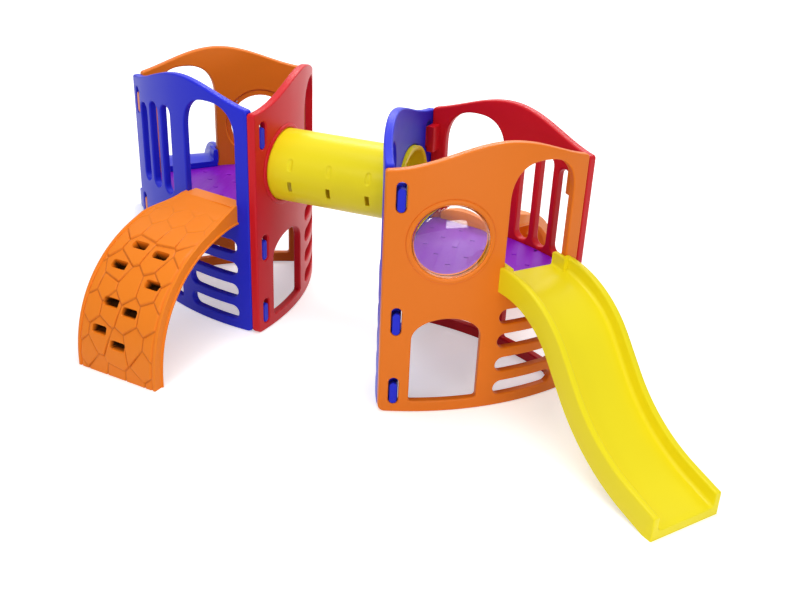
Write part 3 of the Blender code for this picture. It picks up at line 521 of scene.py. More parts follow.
def soft_block(low, high, edge):
    """A box with rounded edges."""
    work = bmesh.new()
    bmesh.ops.create_cube(work, size=1.0)
    size = Vector(high) - Vector(low)
    middle = (Vector(high) + Vector(low)) / 2
    for vert in work.verts:
        vert.co = middle + vert.co * size
    soften(work, edge, 4)
    return work


def weighted_normals(work, wanted):
    """Vertex normals from the face areas, except where a wanted normal is given."""
    work.verts.index_update()
    sums = [Vector() for _ in work.verts]
    for face in work.faces:
        push = face.normal * face.calc_area()
        for vert in face.verts:
            sums[vert.index] += push
    wanted = wanted + [None] * (len(sums) - len(wanted))
    return [total.normalized() if given is None else given for given, total in zip(wanted, sums)]


def new_object(name, data):
    made = bpy.data.objects.new(name, data)
    bpy.context.scene.collection.objects.link(made)
    return made


def finished(work, name, finish, sharp=None, wanted=None):
    """Turn a bmesh into an object with a material, and edges or normals as wanted."""
    work.normal_update()
    bmesh.ops.recalc_face_normals(work, faces=work.faces)
    work.normal_update()
    mesh = bpy.data.meshes.new(name)
    work.to_mesh(mesh)
    mesh.shade_smooth()
    if wanted:
        mesh.normals_split_custom_set_from_vertices(weighted_normals(work, wanted))
    else:
        mesh.set_sharp_from_angle(angle=radians(sharp))
    work.free()
    mesh.materials.append(finish)
    return new_object(name, mesh)


def slab(loops, thick, edge):
    """A flat board with holes and rounded edges, as (across, height, depth) with depth 0 in front."""
    curve = bpy.data.curves.new("outline", "CURVE")
    curve.dimensions = "2D"
    curve.fill_mode = "BOTH"
    curve.extrude = thick / 2 - edge
    curve.bevel_depth = edge
    curve.bevel_resolution = 3
    curve.offset = -edge
    for loop in loops:
        spline = curve.splines.new("POLY")
        spline.points.add(len(loop) - 1)
        for point, spot in zip(spline.points, loop):
            point.co = (spot[0], spot[1], 0.0, 1.0)
        spline.use_cyclic_u = True
    holder = new_object("outline", curve)
    bpy.context.view_layer.update()
    graph = bpy.context.evaluated_depsgraph_get()
    mesh = bpy.data.meshes.new_from_object(holder.evaluated_get(graph))
    work = bmesh.new()
    work.from_mesh(mesh)
    bmesh.ops.remove_doubles(work, verts=work.verts, dist=WELD)
    for vert in work.verts:
        vert.co.z = thick / 2 - vert.co.z
    bpy.data.objects.remove(holder, do_unlink=True)
    bpy.data.curves.remove(curve)
    bpy.data.meshes.remove(mesh)
    return work


# Panels


def border_loop():
    """The outline of a panel on its unrolled outside face."""
    first, last = panel_ends()
    low, high = BOW_RADIUS * first, BOW_RADIUS * last
    corners = [(low, 0.0, FOOT_ROUND), (high, 0.0, FOOT_ROUND), (high, top_edge(PANEL_CHORD) / 2, 0.0)]
    steps = 56
    for k in range(steps + 1):
        angle = last + (first - last) * k / steps
        along = PANEL_CHORD / 2 + BOW_RADIUS * sin(angle)
        corners.append((BOW_RADIUS * angle, top_edge(along), HEAD_ROUND if k in (0, steps) else 0.0))
    return rounded(corners)


def openings(kind):
    """(place along the panel, outline) of every opening in a panel."""
    found = [
        (DOOR_AT, arch(DOOR_WIDTH, DOOR_SILL, DOOR_SPRING, DOOR_HEAD, DOOR_FULLNESS)),
        (ARCH_AT, arch(ARCH_WIDTH, ARCH_SILL, ARCH_SPRING, ARCH_HEAD, ARCH_FULLNESS)),
    ]
    lows = [LOUVRE_LOW + k * LOUVRE_PITCH for k in range(LOUVRE_COUNT)]
    found += [(LOUVRE_AT, level_slot(LOUVRE_LENGTH, low, LOUVRE_TALL)) for low in lows]
    found += [(SLOT_AT, upright_slot(SLOT_WIDTH, low, low + SLOT_TALL)) for low in SLOT_LOWS]
    if kind == "bars":
        for k, top in enumerate(BAR_SLOT_TOPS):
            slot = upright_slot(BAR_SLOT_WIDTH, BAR_SLOT_LOW, top)
            found.append((BAR_SLOT_AT + k * BAR_SLOT_PITCH, slot))
    if kind in BEADS:
        along, _, _, pocket, _ = BEADS[kind]
        found.append((along, circle(pocket, centre=(0.0, HOLE_HEIGHT))))
    return found


def bowed_wall(kind):
    """The wall of a panel: its flat board, bent, with the normals its two faces should have."""
    radius = BOW_RADIUS
    first, last = panel_ends()
    places = [None]
    loops = [border_loop()]
    for along, outline in openings(kind):
        middle = bow_angle(along)
        places.append(middle)
        loops.append([Vector((radius * (middle + asin(p.x / radius)), p.y)) for p in outline])
    work = slab(loops, PANEL_THICK, PANEL_EDGE)
    tree = KDTree(sum(len(loop) for loop in loops))
    owner = []
    for k, loop in enumerate(loops):
        for point in loop:
            tree.insert((point.x, point.y, 0.0), len(owner))
            owner.append(k)
    tree.balance()
    lean = end_lean()
    for vert in work.verts:
        middle = places[owner[tree.find((vert.co.x, vert.co.y, 0.0))[1]]]
        depth = vert.co.z
        angle = vert.co.x / radius
        if middle is None:
            share = 2 * (angle - first) / (last - first) - 1
            angle += share * lean * depth / (radius - depth)
        else:
            angle = middle + asin(radius * sin(angle - middle) / (radius - depth))
        vert.co.x = radius * angle
    reach = int(PANEL_CHORD / STRIP / 2) + 2
    for k in range(-reach, reach + 1):
        everything = work.verts[:] + work.edges[:] + work.faces[:]
        cut = (k * STRIP, 0.0, 0.0)
        bmesh.ops.bisect_plane(work, geom=everything, dist=CUT_SNAP, plane_co=cut, plane_no=(1.0, 0.0, 0.0))
    wanted = []
    work.verts.index_update()
    for vert in work.verts:
        angle, height, depth = vert.co.x / radius, vert.co.y, vert.co.z
        outward = Vector((sin(angle), -cos(angle), 0.0))
        if depth < NEAR:
            wanted.append(outward)
        else:
            wanted.append(-outward if depth > PANEL_THICK - NEAR else None)
        vert.co = (*bow_point(angle, depth), height)
    return work, wanted


def hooks():
    """The arms and tabs that reach through the next panel's slots."""
    work = bmesh.new()
    frame = next_panel_frame() @ wall_frame(SLOT_AT)
    behind = bow_sag(ARM_REACH + TAB_WIDTH / 2, PANEL_THICK) + PANEL_FIT
    for low in SLOT_LOWS:
        seat = low + FIT
        near = (-ARM_REACH - TAB_WIDTH / 2, behind, seat - ARM_SPARE)
        far = (TAB_WIDTH / 2 + TAB_RECESS, behind + ARM_DEPTH, seat + TAB_TALL + ARM_SPARE)
        add(work, soft_block(near, far, ARM_EDGE), frame)
        rings = []
        for inset, sunk in edge_steps(TAB_EDGE, 5):
            outline = upright_slot(TAB_WIDTH - 2 * inset, seat + inset, seat + TAB_TALL - inset)
            rings.append(at_depth(outline, TAB_RECESS + sunk))
        outline = upright_slot(TAB_WIDTH, seat, seat + TAB_TALL)
        rings.append(at_depth(outline, behind + ARM_DEPTH / 2))
        tab = bmesh.new()
        skin(tab, rings)
        add(work, tab, frame)
    return work


def ledges():
    work = bmesh.new()
    top = PLATFORM_TOP - PLATFORM_THICK - FIT
    wall = PANEL_THICK - LEDGE_NOSE / 2
    nose = PANEL_THICK + LEDGE_DEPTH
    outline = ((wall, top), (nose, top), (nose, top - LEDGE_NOSE), (wall, top - LEDGE_TALL))
    for along in LEDGE_PLACES:
        ledge = bmesh.new()
        sides = (-LEDGE_LENGTH / 2, LEDGE_LENGTH / 2)
        skin(ledge, [[Vector((side, depth, z)) for depth, z in outline] for side in sides])
        soften(ledge, LEDGE_EDGE, 3)
        add(work, ledge, wall_frame(along))
    return work


def bead(along, inner, outer, pocket, seat):
    """The raised ring round a hole, with the collar of wall in front of its pocket."""
    middle, half = (inner + outer) / 2, (outer - inner) / 2
    profile = [(pocket, seat), (inner, seat)]
    for angle in spread(pi, 0.0, steps=10):
        proud = (BEAD_PROUD + BEAD_SUNK) * sin(angle) ** BEAD_FULLNESS
        profile.append((middle + half * cos(angle), BEAD_SUNK - proud))
    profile.append((pocket + BEAD_SUNK, PANEL_EDGE))
    frame = wall_frame(along, HOLE_HEIGHT)
    rings = []
    for side in circle(1.0):
        ring = []
        for reach, depth in profile:
            sag = bow_sag(reach * side.x) if depth < seat else 0.0
            ring.append(frame @ Vector((reach * side.x, sag + depth, reach * side.y)))
        rings.append(ring)
    work = bmesh.new()
    skin(work, rings, closed=True)
    return work


def panel(kind, name, finish):
    work, wanted = bowed_wall(kind)
    add(work, hooks())
    add(work, ledges())
    if kind in BEADS:
        add(work, bead(*BEADS[kind]))
    return finished(work, name, finish, wanted=wanted)


# Platform


def platform_plan():
    """The bowed triangle inside three panels, in the first panel's frame."""
    inset = PANEL_THICK + PLATFORM_GAP
    radius = BOW_RADIUS - inset
    start = circles_meet(BOW_CENTRE, radius, to_previous(BOW_CENTRE), radius, Vector((0.0, 0.0)))
    end = circles_meet(BOW_CENTRE, radius, to_next(BOW_CENTRE), radius, Vector((PANEL_CHORD, 0.0)))
    side = [bow_point(angle, inset) for angle in spread(angle_of(start), angle_of(end), steps=28)]
    side[0] = side[0].lerp(side[1], PLATFORM_ROUND / (side[1] - side[0]).length)
    side[-1] = side[-1].lerp(side[-2], PLATFORM_ROUND / (side[-2] - side[-1]).length)
    return side + [to_next(p) for p in side] + [to_next(to_next(p)) for p in side]


def mark_spots():
    """Staggered rows of the platform's long marks that stay clear of its edge."""
    centre = Vector((PANEL_CHORD / 2, PANEL_CHORD * sqrt(3) / 6))
    inner = BOW_RADIUS - PANEL_THICK - MARK_BORDER
    middles = [BOW_CENTRE, to_next(BOW_CENTRE), to_next(to_next(BOW_CENTRE))]
    half = Vector((0.0, MARK_LENGTH / 2))
    spots = []
    for row in range(-MARK_ROWS, MARK_ROWS + 1):
        for column in range(-MARK_COLUMNS, MARK_COLUMNS + 1):
            across = (row + MARK_ROW_SHIFT) * MARK_PITCH_ACROSS
            along = (column + 0.5 * (row % 2) + MARK_COLUMN_SHIFT) * MARK_PITCH_ALONG
            spot = centre + Vector((across, along))
            if all((end - middle).length < inner for end in (spot + half, spot - half) for middle in middles):
                spots.append(spot)
    return spots


def platform(name, finish):
    """A board with shallow long marks, made as a pierced top layer on a whole lower one."""
    plan = platform_plan()
    mark = upright_slot(MARK_WIDTH, -MARK_LENGTH / 2, MARK_LENGTH / 2, steps=6)
    marks = [[spot + point for point in mark] for spot in mark_spots()]
    work = bmesh.new()
    upper = slab([plan] + marks, 2 * MARK_DEPTH, MARK_EDGE)
    lower = slab([plan], PLATFORM_THICK - MARK_DEPTH, PLATFORM_EDGE)
    add(work, upper, placed(0.0, 0.0, PLATFORM_TOP - 2 * MARK_DEPTH))
    add(work, lower, placed(0.0, 0.0, PLATFORM_TOP - PLATFORM_THICK))
    return finished(work, name, finish, sharp=35.0)


# Dome and tunnel


def dome(name, finish):
    """The clear bubble with its flange, in the window panel's frame."""
    flange = DOME_POCKET_RADIUS - TUBE_FIT
    neck = WINDOW_RADIUS - TUBE_FIT
    back = DOME_SEAT + FIT + DOME_WALL
    outside = [(flange, back), (flange, DOME_SEAT + FIT), (neck, DOME_SEAT + FIT)]
    inside = [(neck - DOME_WALL, back)]
    for turn in spread(0.0, pi / 2, steps=22)[:-1]:
        wide, proud = cos(turn), sin(turn)
        outside.append((neck * wide, -DOME_PROUD * proud))
        inside.append(((neck - DOME_WALL) * wide, (DOME_WALL - DOME_PROUD) * proud))
    frame = wall_frame(WINDOW_AT, HOLE_HEIGHT)
    work = bmesh.new()
    count = 112
    shells = []
    for line, tip in ((outside, -DOME_PROUD), (inside, DOME_WALL - DOME_PROUD)):
        rings = [[frame @ p for p in at_depth(circle(reach, count), depth)] for reach, depth in line]
        rows = skin(work, rings, capped=False)
        top = work.verts.new(frame @ Vector((0.0, tip, 0.0)))
        for k in range(count):
            work.faces.new((rows[-1][k], rows[-1][(k + 1) % count], top))
        shells.append(rows[0])
    bridge(work, *shells)
    return finished(work, name, finish, sharp=35.0)


def grip_field(along, angle):
    """(how deep inside a grip, how deep inside an oval) for a point on the tube; outside is negative."""
    nearest = min((-1, 0, 1), key=lambda k: abs(along - k * GRIP_PITCH))
    across = abs(along - nearest * GRIP_PITCH)
    side = angle if abs(angle) < pi / 2 else copysign(pi, angle) - angle
    grip = min(GRIP_WIDTH / 2 - across, GRIP_TALL / 2 - abs(side - GRIP_ANGLE) * TUBE_RADIUS)
    tall = max(abs(side - OVAL_ANGLE) * TUBE_RADIUS - (GRIP_TALL - GRIP_WIDTH) / 2, 0.0)
    return grip, GRIP_WIDTH / 2 - hypot(across, tall)


def crawl_tunnel(name, finish):
    """The tube with its open grips and sunk ovals, about the X axis at its own height."""
    length = TUNNEL_GAP + 2 * TUBE_END
    work = bmesh.new()
    layers = []
    for base, sense in ((TUBE_RADIUS, 1), (TUBE_RADIUS - TUBE_WALL, -1)):
        rows = []
        for i in range(TUBE_ALONG + 1):
            x = length * (i / TUBE_ALONG - 0.5)
            end = max(TUBE_ROUND - (length / 2 - abs(x)), 0.0) / TUBE_ROUND
            pull = TUBE_ROUND * (1 - sqrt(max(1 - end * end, 0.0)))
            row = []
            for j in range(TUBE_AROUND):
                angle = tau * j / TUBE_AROUND - pi
                radius = base - sense * pull
                if sense > 0:
                    radius -= OVAL_DEEP * smooth_step(grip_field(x, angle)[1] / OVAL_EDGE)
                side, rise = -radius * cos(angle), radius * sin(angle)
                row.append(work.verts.new((x, side, HOLE_HEIGHT + rise)))
            rows.append(row)
        layers.append(rows)
    outer, inner = layers

    def open_cell(i, j):
        if not 0 <= i < TUBE_ALONG:
            return False
        x = length * ((i + 0.5) / TUBE_ALONG - 0.5)
        angle = tau * (j % TUBE_AROUND + 0.5) / TUBE_AROUND - pi
        return grip_field(x, angle)[0] > 0.0

    for i in range(TUBE_ALONG):
        for j in range(TUBE_AROUND):
            beside = (j + 1) % TUBE_AROUND
            if not open_cell(i, j):
                for grid in layers:
                    work.faces.new((grid[i][j], grid[i][beside], grid[i + 1][beside], grid[i + 1][j]))
                continue
            sides = (
                (i - 1, j, (i, j), (i, beside)),
                (i + 1, j, (i + 1, j), (i + 1, beside)),
                (i, j - 1, (i, j), (i + 1, j)),
                (i, j + 1, (i, beside), (i + 1, beside)),
            )
            for row, column, (a, b), (c, d) in sides:
                if not open_cell(row, column):
                    work.faces.new((outer[a][b], outer[c][d], inner[c][d], inner[a][b]))
    for row in (0, TUBE_ALONG):
        bridge(work, outer[row], inner[row])
    loose = [vert for vert in work.verts if not vert.link_faces]
    bmesh.ops.delete(work, geom=loose, context="VERTS")
    return finished(work, name, finish, sharp=40.0)


# Slides and ramps


def to_wall(work, hanging):
    """Turn and shift a hung body to its place, and end it on the wall's outside face."""
    place = placed(hanging[1], 0.0, turn=hanging[0])
    for vert in work.verts:
        vert.co = place @ vert.co
        vert.co.y = min(vert.co.y, bow_sag(vert.co.x) - PANEL_FIT)


def tongue(floor, rail):
    """The part that lies on the sill between the jambs, with a lip down behind the wall."""
    half = DOOR_WIDTH / 2 - TONGUE_SIDE_GAP
    low = DOOR_SILL + FIT
    floor -= TONGUE_STEP
    back = bow_sag(half, PANEL_THICK) + PANEL_FIT + LIP_PLATE
    corners = [(half, low, TONGUE_EDGE), (half, floor + rail, TONGUE_EDGE)]
    if rail > 0.0:
        inside = half - TONGUE_RAIL
        corners += [(inside, floor + rail, TONGUE_EDGE), (inside, floor, SLIDE_FILLET / 2)]
    outline = rounded(corners + mirrored(corners))
    middle = Vector((0.0, (low + floor) / 2))
    rings = [at_depth(outline, -TONGUE_LAP)]
    for short, inset in edge_steps(TONGUE_EDGE, 5):
        rings.append(at_depth([p.lerp(middle, inset / half) for p in outline], back - short))
    work = bmesh.new()
    skin(work, rings)
    lip = bmesh.new()
    side = half - TONGUE_EDGE
    plan = [Vector((x, bow_sag(x, PANEL_THICK) + PANEL_FIT)) for x in spread(-side, side, steps=10)]
    plan += [Vector((side, back - LIP_SHY)), Vector((-side, back - LIP_SHY))]
    skin(lip, [[Vector((p.x, p.y, z)) for p in plan] for z in (PLATFORM_TOP + FIT, low + TONGUE_EDGE)])
    soften(lip, LIP_EDGE, 2)
    add(work, lip)
    return work


def path_arc(radius, first, last, steps=26):
    """An arc of a path as (out, fall, slope), from a first slope to a last one."""
    arc = []
    for slope in spread(first, last, steps):
        out, fall = sin(slope) - sin(first), cos(first) - cos(slope)
        arc.append((radius * abs(out), radius * abs(fall), slope))
    return arc


def slide_path():
    """The bed from the wall to the foot as (out, height, slope): crest arc, straight run, hollow arc."""
    crest = path_arc(SLIDE_CREST_RADIUS, 0.0, SLIDE_SLOPE)
    hollow = path_arc(SLIDE_HOLLOW_RADIUS, SLIDE_SLOPE, SLIDE_EXIT_SLOPE)
    steep, gentle = tan(SLIDE_SLOPE), tan(SLIDE_EXIT_SLOPE)
    spare_out = SLIDE_LENGTH - SLIDE_CREST_START - crest[-1][0] - hollow[-1][0]
    spare_fall = SLIDE_BED - SLIDE_BED_FOOT - crest[-1][1] - hollow[-1][1]
    run = (spare_fall - gentle * spare_out) / (steep - gentle)
    path = [(WALL_START, SLIDE_BED, 0.0), (0.0, SLIDE_BED, 0.0)]
    path += [(SLIDE_CREST_START + out, SLIDE_BED - fall, slope) for out, fall, slope in crest]
    start, top = path[-1][0] + run, path[-1][1] - run * steep
    path += [(start + out, top - fall, slope) for out, fall, slope in hollow]
    plate_top = SLIDE_BED_FOOT + SLIDE_FOOT_PLATE * gentle
    path.append((SLIDE_LENGTH - SLIDE_FOOT_PLATE, plate_top, SLIDE_EXIT_SLOPE))
    path.append((SLIDE_LENGTH, SLIDE_BED_FOOT, SLIDE_EXIT_SLOPE))
    return path


def station(out, height, slope, section, upright=False):
    """A cross-section of (across, lift) points set square to a path, or upright at its two ends."""
    back, rise = (0.0, 1 / cos(slope)) if upright else (sin(slope), cos(slope))
    return [Vector((across, -out - lift * back, max(height + lift * rise, 0.0))) for across, lift in section]


def slide_section(out, hollow, shrink=0.0):
    """The slide's cross-section: bed and cheeks above, and a hollow of the given height below."""
    half = SLIDE_WIDTH / 2 - shrink
    inside = SLIDE_WIDTH / 2 - SLIDE_CHEEK + shrink
    bed = -SLIDE_BED_SINK - shrink
    share = max(out, 0.0) / SLIDE_LENGTH
    cheek = SLIDE_CHEEK_TOP + (SLIDE_CHEEK_FOOT - SLIDE_CHEEK_TOP) * share - shrink
    foot = -SLIDE_DEPTH + shrink
    roof = foot + hollow
    under = min(SLIDE_FOOT_ROUND, hollow / 4)
    tight = max(SLIDE_CHEEK_ROUND - shrink, MIN_ROUND)
    upper = [(inside, bed, SLIDE_FILLET), (inside, cheek, tight), (half, cheek, tight)]
    upper.append((half, foot, SLIDE_FOOT_ROUND))
    lower = [(inside, foot, under), (inside, roof, under)]
    return rounded(mirrored(upper) + upper + lower + mirrored(lower))


def wave_slide(name, hanging, finish):
    """The slide; plates shut the hollow below its bed at the wall and the foot."""
    *path, (last, foot, lean) = slide_path()
    rings = []
    before = SLIDE_SHUT
    for out, height, slope in path:
        plated = not SLIDE_FOOT_PLATE <= out <= SLIDE_LENGTH - SLIDE_FOOT_PLATE - SLIDE_STEP
        hollow = SLIDE_SHUT if plated else SLIDE_DEPTH - SLIDE_BED_THICK
        if hollow != before:
            rings.append(station(out - SLIDE_STEP, height, slope, slide_section(out, before)))
        rings.append(station(out, height, slope, slide_section(out, hollow), upright=not rings))
        before = hollow
    for short, inset in edge_steps(SLIDE_FOOT_ROUND, 4):
        section = slide_section(last, SLIDE_SHUT, inset)
        rings.append(station(last - short, foot + short * tan(lean), lean, section, upright=True))
    body = bmesh.new()
    skin(body, rings)
    to_wall(body, hanging)
    add(body, tongue(SLIDE_BED - SLIDE_BED_SINK, SLIDE_CHEEK_TOP + SLIDE_BED_SINK))
    return finished(body, name, finish, sharp=38.0)


def ramp_spot(degrees):
    """A point on the ramp's face as (out, height, slope), by its angle up from the foot."""
    power = 2 / RAMP_FULLNESS
    wide = cos(radians(degrees)) ** power if degrees < 90.0 else 0.0
    tall = sin(radians(degrees)) ** power if degrees > 0.0 else 0.0
    steep = RAMP_TOP * wide ** (RAMP_FULLNESS - 1)
    level = RAMP_REACH * tall ** (RAMP_FULLNESS - 1)
    return RAMP_REACH * wide, RAMP_TOP * tall, atan2(steep, level)


def ramp_line():
    """The ramp's face as (way down from the wall, out, height, slope, degrees), in even short steps."""
    dense = [(WALL_START, RAMP_TOP, 0.0, 90.0)]
    dense += [(*ramp_spot(degrees), degrees) for degrees in spread(90.0, 0.0, steps=1600)]
    ways = [0.0]
    for near, far in zip(dense, dense[1:]):
        ways.append(ways[-1] + hypot(far[0] - near[0], far[1] - near[1]))
    line = []
    k = 0
    for row in range(RAMP_ROWS + 1):
        way = ways[-1] * row / RAMP_ROWS
        while k < len(ways) - 2 and ways[k + 1] < way:
            k += 1
        share = min(max((way - ways[k]) / (ways[k + 1] - ways[k]), 0.0), 1.0)
        near, far = dense[k], dense[k + 1]
        line.append((way, *[a + (b - a) * share for a, b in zip(near, far)]))
    return line


def hold_places(line):
    """Each hold as (across, way down from the wall)."""
    return [(across, min(line, key=lambda spot: abs(spot[4] - degrees))[0]) for across, degrees in HOLDS]


def stones(line, holds):
    """Centres of the cobbles: one round every hold and a loose staggered grid between them."""
    chance = random.Random(STONE_SEED)
    spots = [Vector((across, way + STONE_BELOW_HOLD)) for across, way in holds]
    pitch = STONE_TALL * STONE_NEST
    for row in range(int(line[-1][0] / pitch) + 2):
        for column in range(-3, 4):
            across = (column + 0.5 * (row % 2)) * STONE_WIDE + chance.uniform(-STONE_STRAY, STONE_STRAY)
            spot = Vector((across, row * pitch + chance.uniform(-STONE_DRIFT, STONE_DRIFT)))
            if all((spot - taken).length > STONE_WIDE * STONE_APART for taken in spots[: len(holds)]):
                spots.append(spot)
    return spots


def ramp_relief(line, holds):
    """A function for the cobbles' height and how much painted shade darkens their grooves, at a point of the
    face.
    """
    spots = stones(line, holds)
    stretch = STONE_WIDE / STONE_TALL
    tree = KDTree(len(spots))
    for k, spot in enumerate(spots):
        tree.insert((spot.x, spot.y * stretch, 0.0), k)
    tree.balance()

    def relief(across, way, degrees, spare):
        (near, first, short), (far, _, long) = tree.find_n((across, way * stretch, 0.0), 2)
        border = (long**2 - short**2) / (2 * (far - near).length)
        tilt = min(max(0.5 + (way - spots[first].y) / STONE_TALL, 0.0), 1.0)
        fade = fall_off(degrees, *STONE_FULL)
        fade += STONE_FAINT * fall_off(degrees, *STONE_END) * (1.0 - fade)
        fade *= smooth_step(spare / STONE_MARGIN)
        rise = STONE_UPPER + (1.0 - STONE_UPPER) * tilt
        stone = smooth_step(border / STONE_STEP)
        return STONE_RELIEF * rise * stone * fade, (1.0 - stone) * fade

    return relief


def hold_depth(across, way, holds, grow=0.0):
    """How far a hold pushes in a point of the face: deep at its top edge, shallow at its foot."""
    for middle, height in holds:
        aside = abs(across - middle) - (HOLD_WIDTH / 2 + grow - HOLD_ROUND)
        down = abs(way - height) - (HOLD_TALL / 2 + grow - HOLD_ROUND)
        if max(aside, down) > HOLD_ROUND + HOLD_BRIM:
            continue
        outside = hypot(max(aside, 0.0), max(down, 0.0)) + min(max(aside, down), 0.0) - HOLD_ROUND
        share = min(max((way - height) / HOLD_TALL + 0.5, 0.0), 1.0)
        deep = HOLD_DEEP + (HOLD_SHALLOW - HOLD_DEEP) * share
        return deep * smooth_step((HOLD_BRIM - outside) / HOLD_EDGE)
    return 0.0


def ramp_flange(half, sign, rise, rim_tall):
    """The raised rim, the side flange and its lip, from the face round to the underside."""
    rim = half - RAMP_RIM_WIDTH
    inside = half - RAMP_FLANGE_THICK
    out = half + RAMP_LIP
    corners = [
        (rim, rise, 0.0),
        (rim + RAMP_RIM_SLANT, rise + rim_tall, MIN_ROUND),
        (half, rise + rim_tall, RAMP_RIM_SLANT),
        (half, RAMP_LIP_TALL - RAMP_FLANGE, RAMP_FLANGE_ROUND),
        (out, RAMP_LIP_TALL - RAMP_FLANGE, RAMP_FLANGE_ROUND),
        (out, -RAMP_FLANGE, RAMP_FLANGE_ROUND),
        (inside, -RAMP_FLANGE, RAMP_FLANGE_ROUND),
        (inside, rise - RAMP_SKIN, 0.0),
    ]
    return [(sign * p.x, p.y) for p in rounded(corners, steps=4)[1:-1]]


def between(left, right, inset, share):
    """A place across the ramp, from its left side (0) to its right (1), less an inset at both."""
    return (left + right - 2 * inset) * share - left + inset


def climbing_ramp(name, hanging, finish):
    line = ramp_line()
    holds = hold_places(line)
    relief = ramp_relief(line, holds)
    jambs = [DOOR_WIDTH / 2 + PANEL_EDGE + sign * hanging[1] for sign in (1, -1)]
    rings, shades = [], []
    for way, out, height, slope, degrees in line:
        wide = (RAMP_TOP_WIDTH + (RAMP_FOOT_WIDTH - RAMP_TOP_WIDTH) * max(out, 0.0) / RAMP_REACH) / 2
        sweep = smooth_step(1 - out / RAMP_SWEEP)
        left, right = [wide + (min(jamb, wide) - wide) * sweep for jamb in jambs]
        climb = min(max(1 - (out - RAMP_LIP_FLAT) / RAMP_APRON, 0.0), 1.0)
        rise = (RAMP_LIP_TOP - RAMP_TOP) * climb**2
        rim_tall = RAMP_RIM_TALL * (1 - RAMP_RIM_LOSS * climb)
        upper, lower = [], []
        for k in range(RAMP_COLUMNS + 1):
            across = between(left, right, RAMP_RIM_WIDTH, k / RAMP_COLUMNS)
            spare = min(across + left, right - across) - RAMP_RIM_WIDTH
            depth = hold_depth(across, way, holds)
            stone, groove = relief(across, way, degrees, spare)
            # painted shade: deep in the holds, and partly in the grooves between the stones
            shades.append(max(smooth_step((depth - HOLD_LIT) / HOLD_DIM), STONE_SHADE * groove))
            upper.append((across, stone + rise - depth))
            across = between(left, right, RAMP_FLANGE_THICK, k / RAMP_COLUMNS)
            lower.append((across, rise - RAMP_SKIN - hold_depth(across, way, holds, HOLD_SKIN)))
        sides = [ramp_flange(right, 1, rise, rim_tall), ramp_flange(left, -1, rise, rim_tall)]
        section = upper + sides[0] + lower[::-1] + sides[1][::-1]
        shades += [0.0] * (len(section) - len(upper))
        rings.append(station(out, height, slope, section))
    body = bmesh.new()
    # painted shade of the holds and the grooves, kept on each vertex
    painted_shade = body.verts.layers.float.new("painted_shade")
    verts = [vert for row in skin(body, rings) for vert in row]
    for vert, shade in zip(verts, shades):
        vert[painted_shade] = shade
    to_wall(body, hanging)
    add(body, tongue(RAMP_LIP_TOP, 0.0))
    return finished(body, name, finish, sharp=50.0)


# Materials


def feed(tree, node, inputs):
    """Set a node's inputs, each from a value or from the socket that feeds it."""
    for socket, value in inputs.items():
        if isinstance(value, bpy.types.NodeSocket):
            tree.links.new(value, node.inputs[socket])
        else:
            node.inputs[socket].default_value = value


def wire(tree, kind, output, inputs, **fields):
    """Add a shader node and return one of its outputs."""
    node = tree.nodes.new(kind)
    for field, value in fields.items():
        setattr(node, field, value)
    feed(tree, node, inputs)
    return node.outputs[output]


def node_material(name):
    made = bpy.data.materials.new(name)
    made.use_nodes = True
    return made, made.node_tree


def object_place(tree):
    return wire(tree, "ShaderNodeTexCoord", "Object", {})


def cloud(tree, scale, detail):
    inputs = {"Scale": scale, "Detail": detail, "Vector": object_place(tree)}
    return wire(tree, "ShaderNodeTexNoise", "Fac", inputs)


def blended(tree, share, first, second):
    inputs = {"Factor": share, "A": first, "B": second}
    return wire(tree, "ShaderNodeMix", "Result", inputs, data_type="RGBA")


def mapped(tree, value, given, wanted, **fields):
    """A value spread from one range onto another."""
    inputs = {"Value": value, "From Min": given[0], "From Max": given[1]}
    inputs.update({"To Min": wanted[0], "To Max": wanted[1]})
    return wire(tree, "ShaderNodeMapRange", "Result", inputs, **fields)


def plastic(name, colour, roughness, grain=1.0, painted_shade=None):
    """Satin plastic: slightly clouded, with uneven gloss, soft waves and a faint orange peel; where a colour
    is given, painted shade darkens its recesses towards it.
    """
    made, tree = node_material(name)
    dull, bright = [(*[min(c * share, 1.0) for c in colour], 1.0) for share in CLOUDING]
    base = blended(tree, cloud(tree, 1.7, 2.0), dull, bright)
    # painted shade: holds and grooves darken towards the given colour, by a vertex attribute
    if painted_shade:
        depth = wire(tree, "ShaderNodeAttribute", "Fac", {}, attribute_name="painted_shade")
        base = blended(tree, depth, base, (*painted_shade, 1.0))
    gloss = mapped(tree, cloud(tree, 6.0, 3.0), (0.3, 0.7), (roughness - 0.02, roughness + 0.03))
    waves = {"Strength": 0.10, "Distance": 0.002, "Height": cloud(tree, 5.0, 1.0)}
    peel = {"Strength": 0.06 * grain, "Distance": 0.0006, "Height": cloud(tree, 330.0, 2.0)}
    peel["Normal"] = wire(tree, "ShaderNodeBump", "Normal", waves)
    surface = {"Base Color": base, "Roughness": gloss, "IOR": 1.49, "Specular IOR Level": 0.24}
    surface["Normal"] = wire(tree, "ShaderNodeBump", "Normal", peel)
    feed(tree, tree.nodes["Principled BSDF"], surface)
    made.diffuse_color = (*colour, 1.0)
    return made


def clear_plastic(name):
    """The bubble: clear, with faint haze, and open to light that only passes through."""
    made, tree = node_material(name)
    shader = tree.nodes["Principled BSDF"]
    feed(tree, shader, {"Base Color": BUBBLE_COLOUR, "Transmission Weight": 1.0, "IOR": 1.46})
    feed(tree, shader, {"Roughness": mapped(tree, cloud(tree, 14.0, 4.0), (0.0, 1.0), (0.0, 0.05))})
    passing = wire(tree, "ShaderNodeBsdfTransparent", "BSDF", {"Color": BUBBLE_SHADOW})
    light = wire(tree, "ShaderNodeLightPath", "Is Shadow Ray", {})
    sides = {"Fac": light, 1: shader.outputs["BSDF"], 2: passing}
    feed(tree, tree.nodes["Material Output"], {"Surface": wire(tree, "ShaderNodeMixShader", "Shader", sides)})
    return made


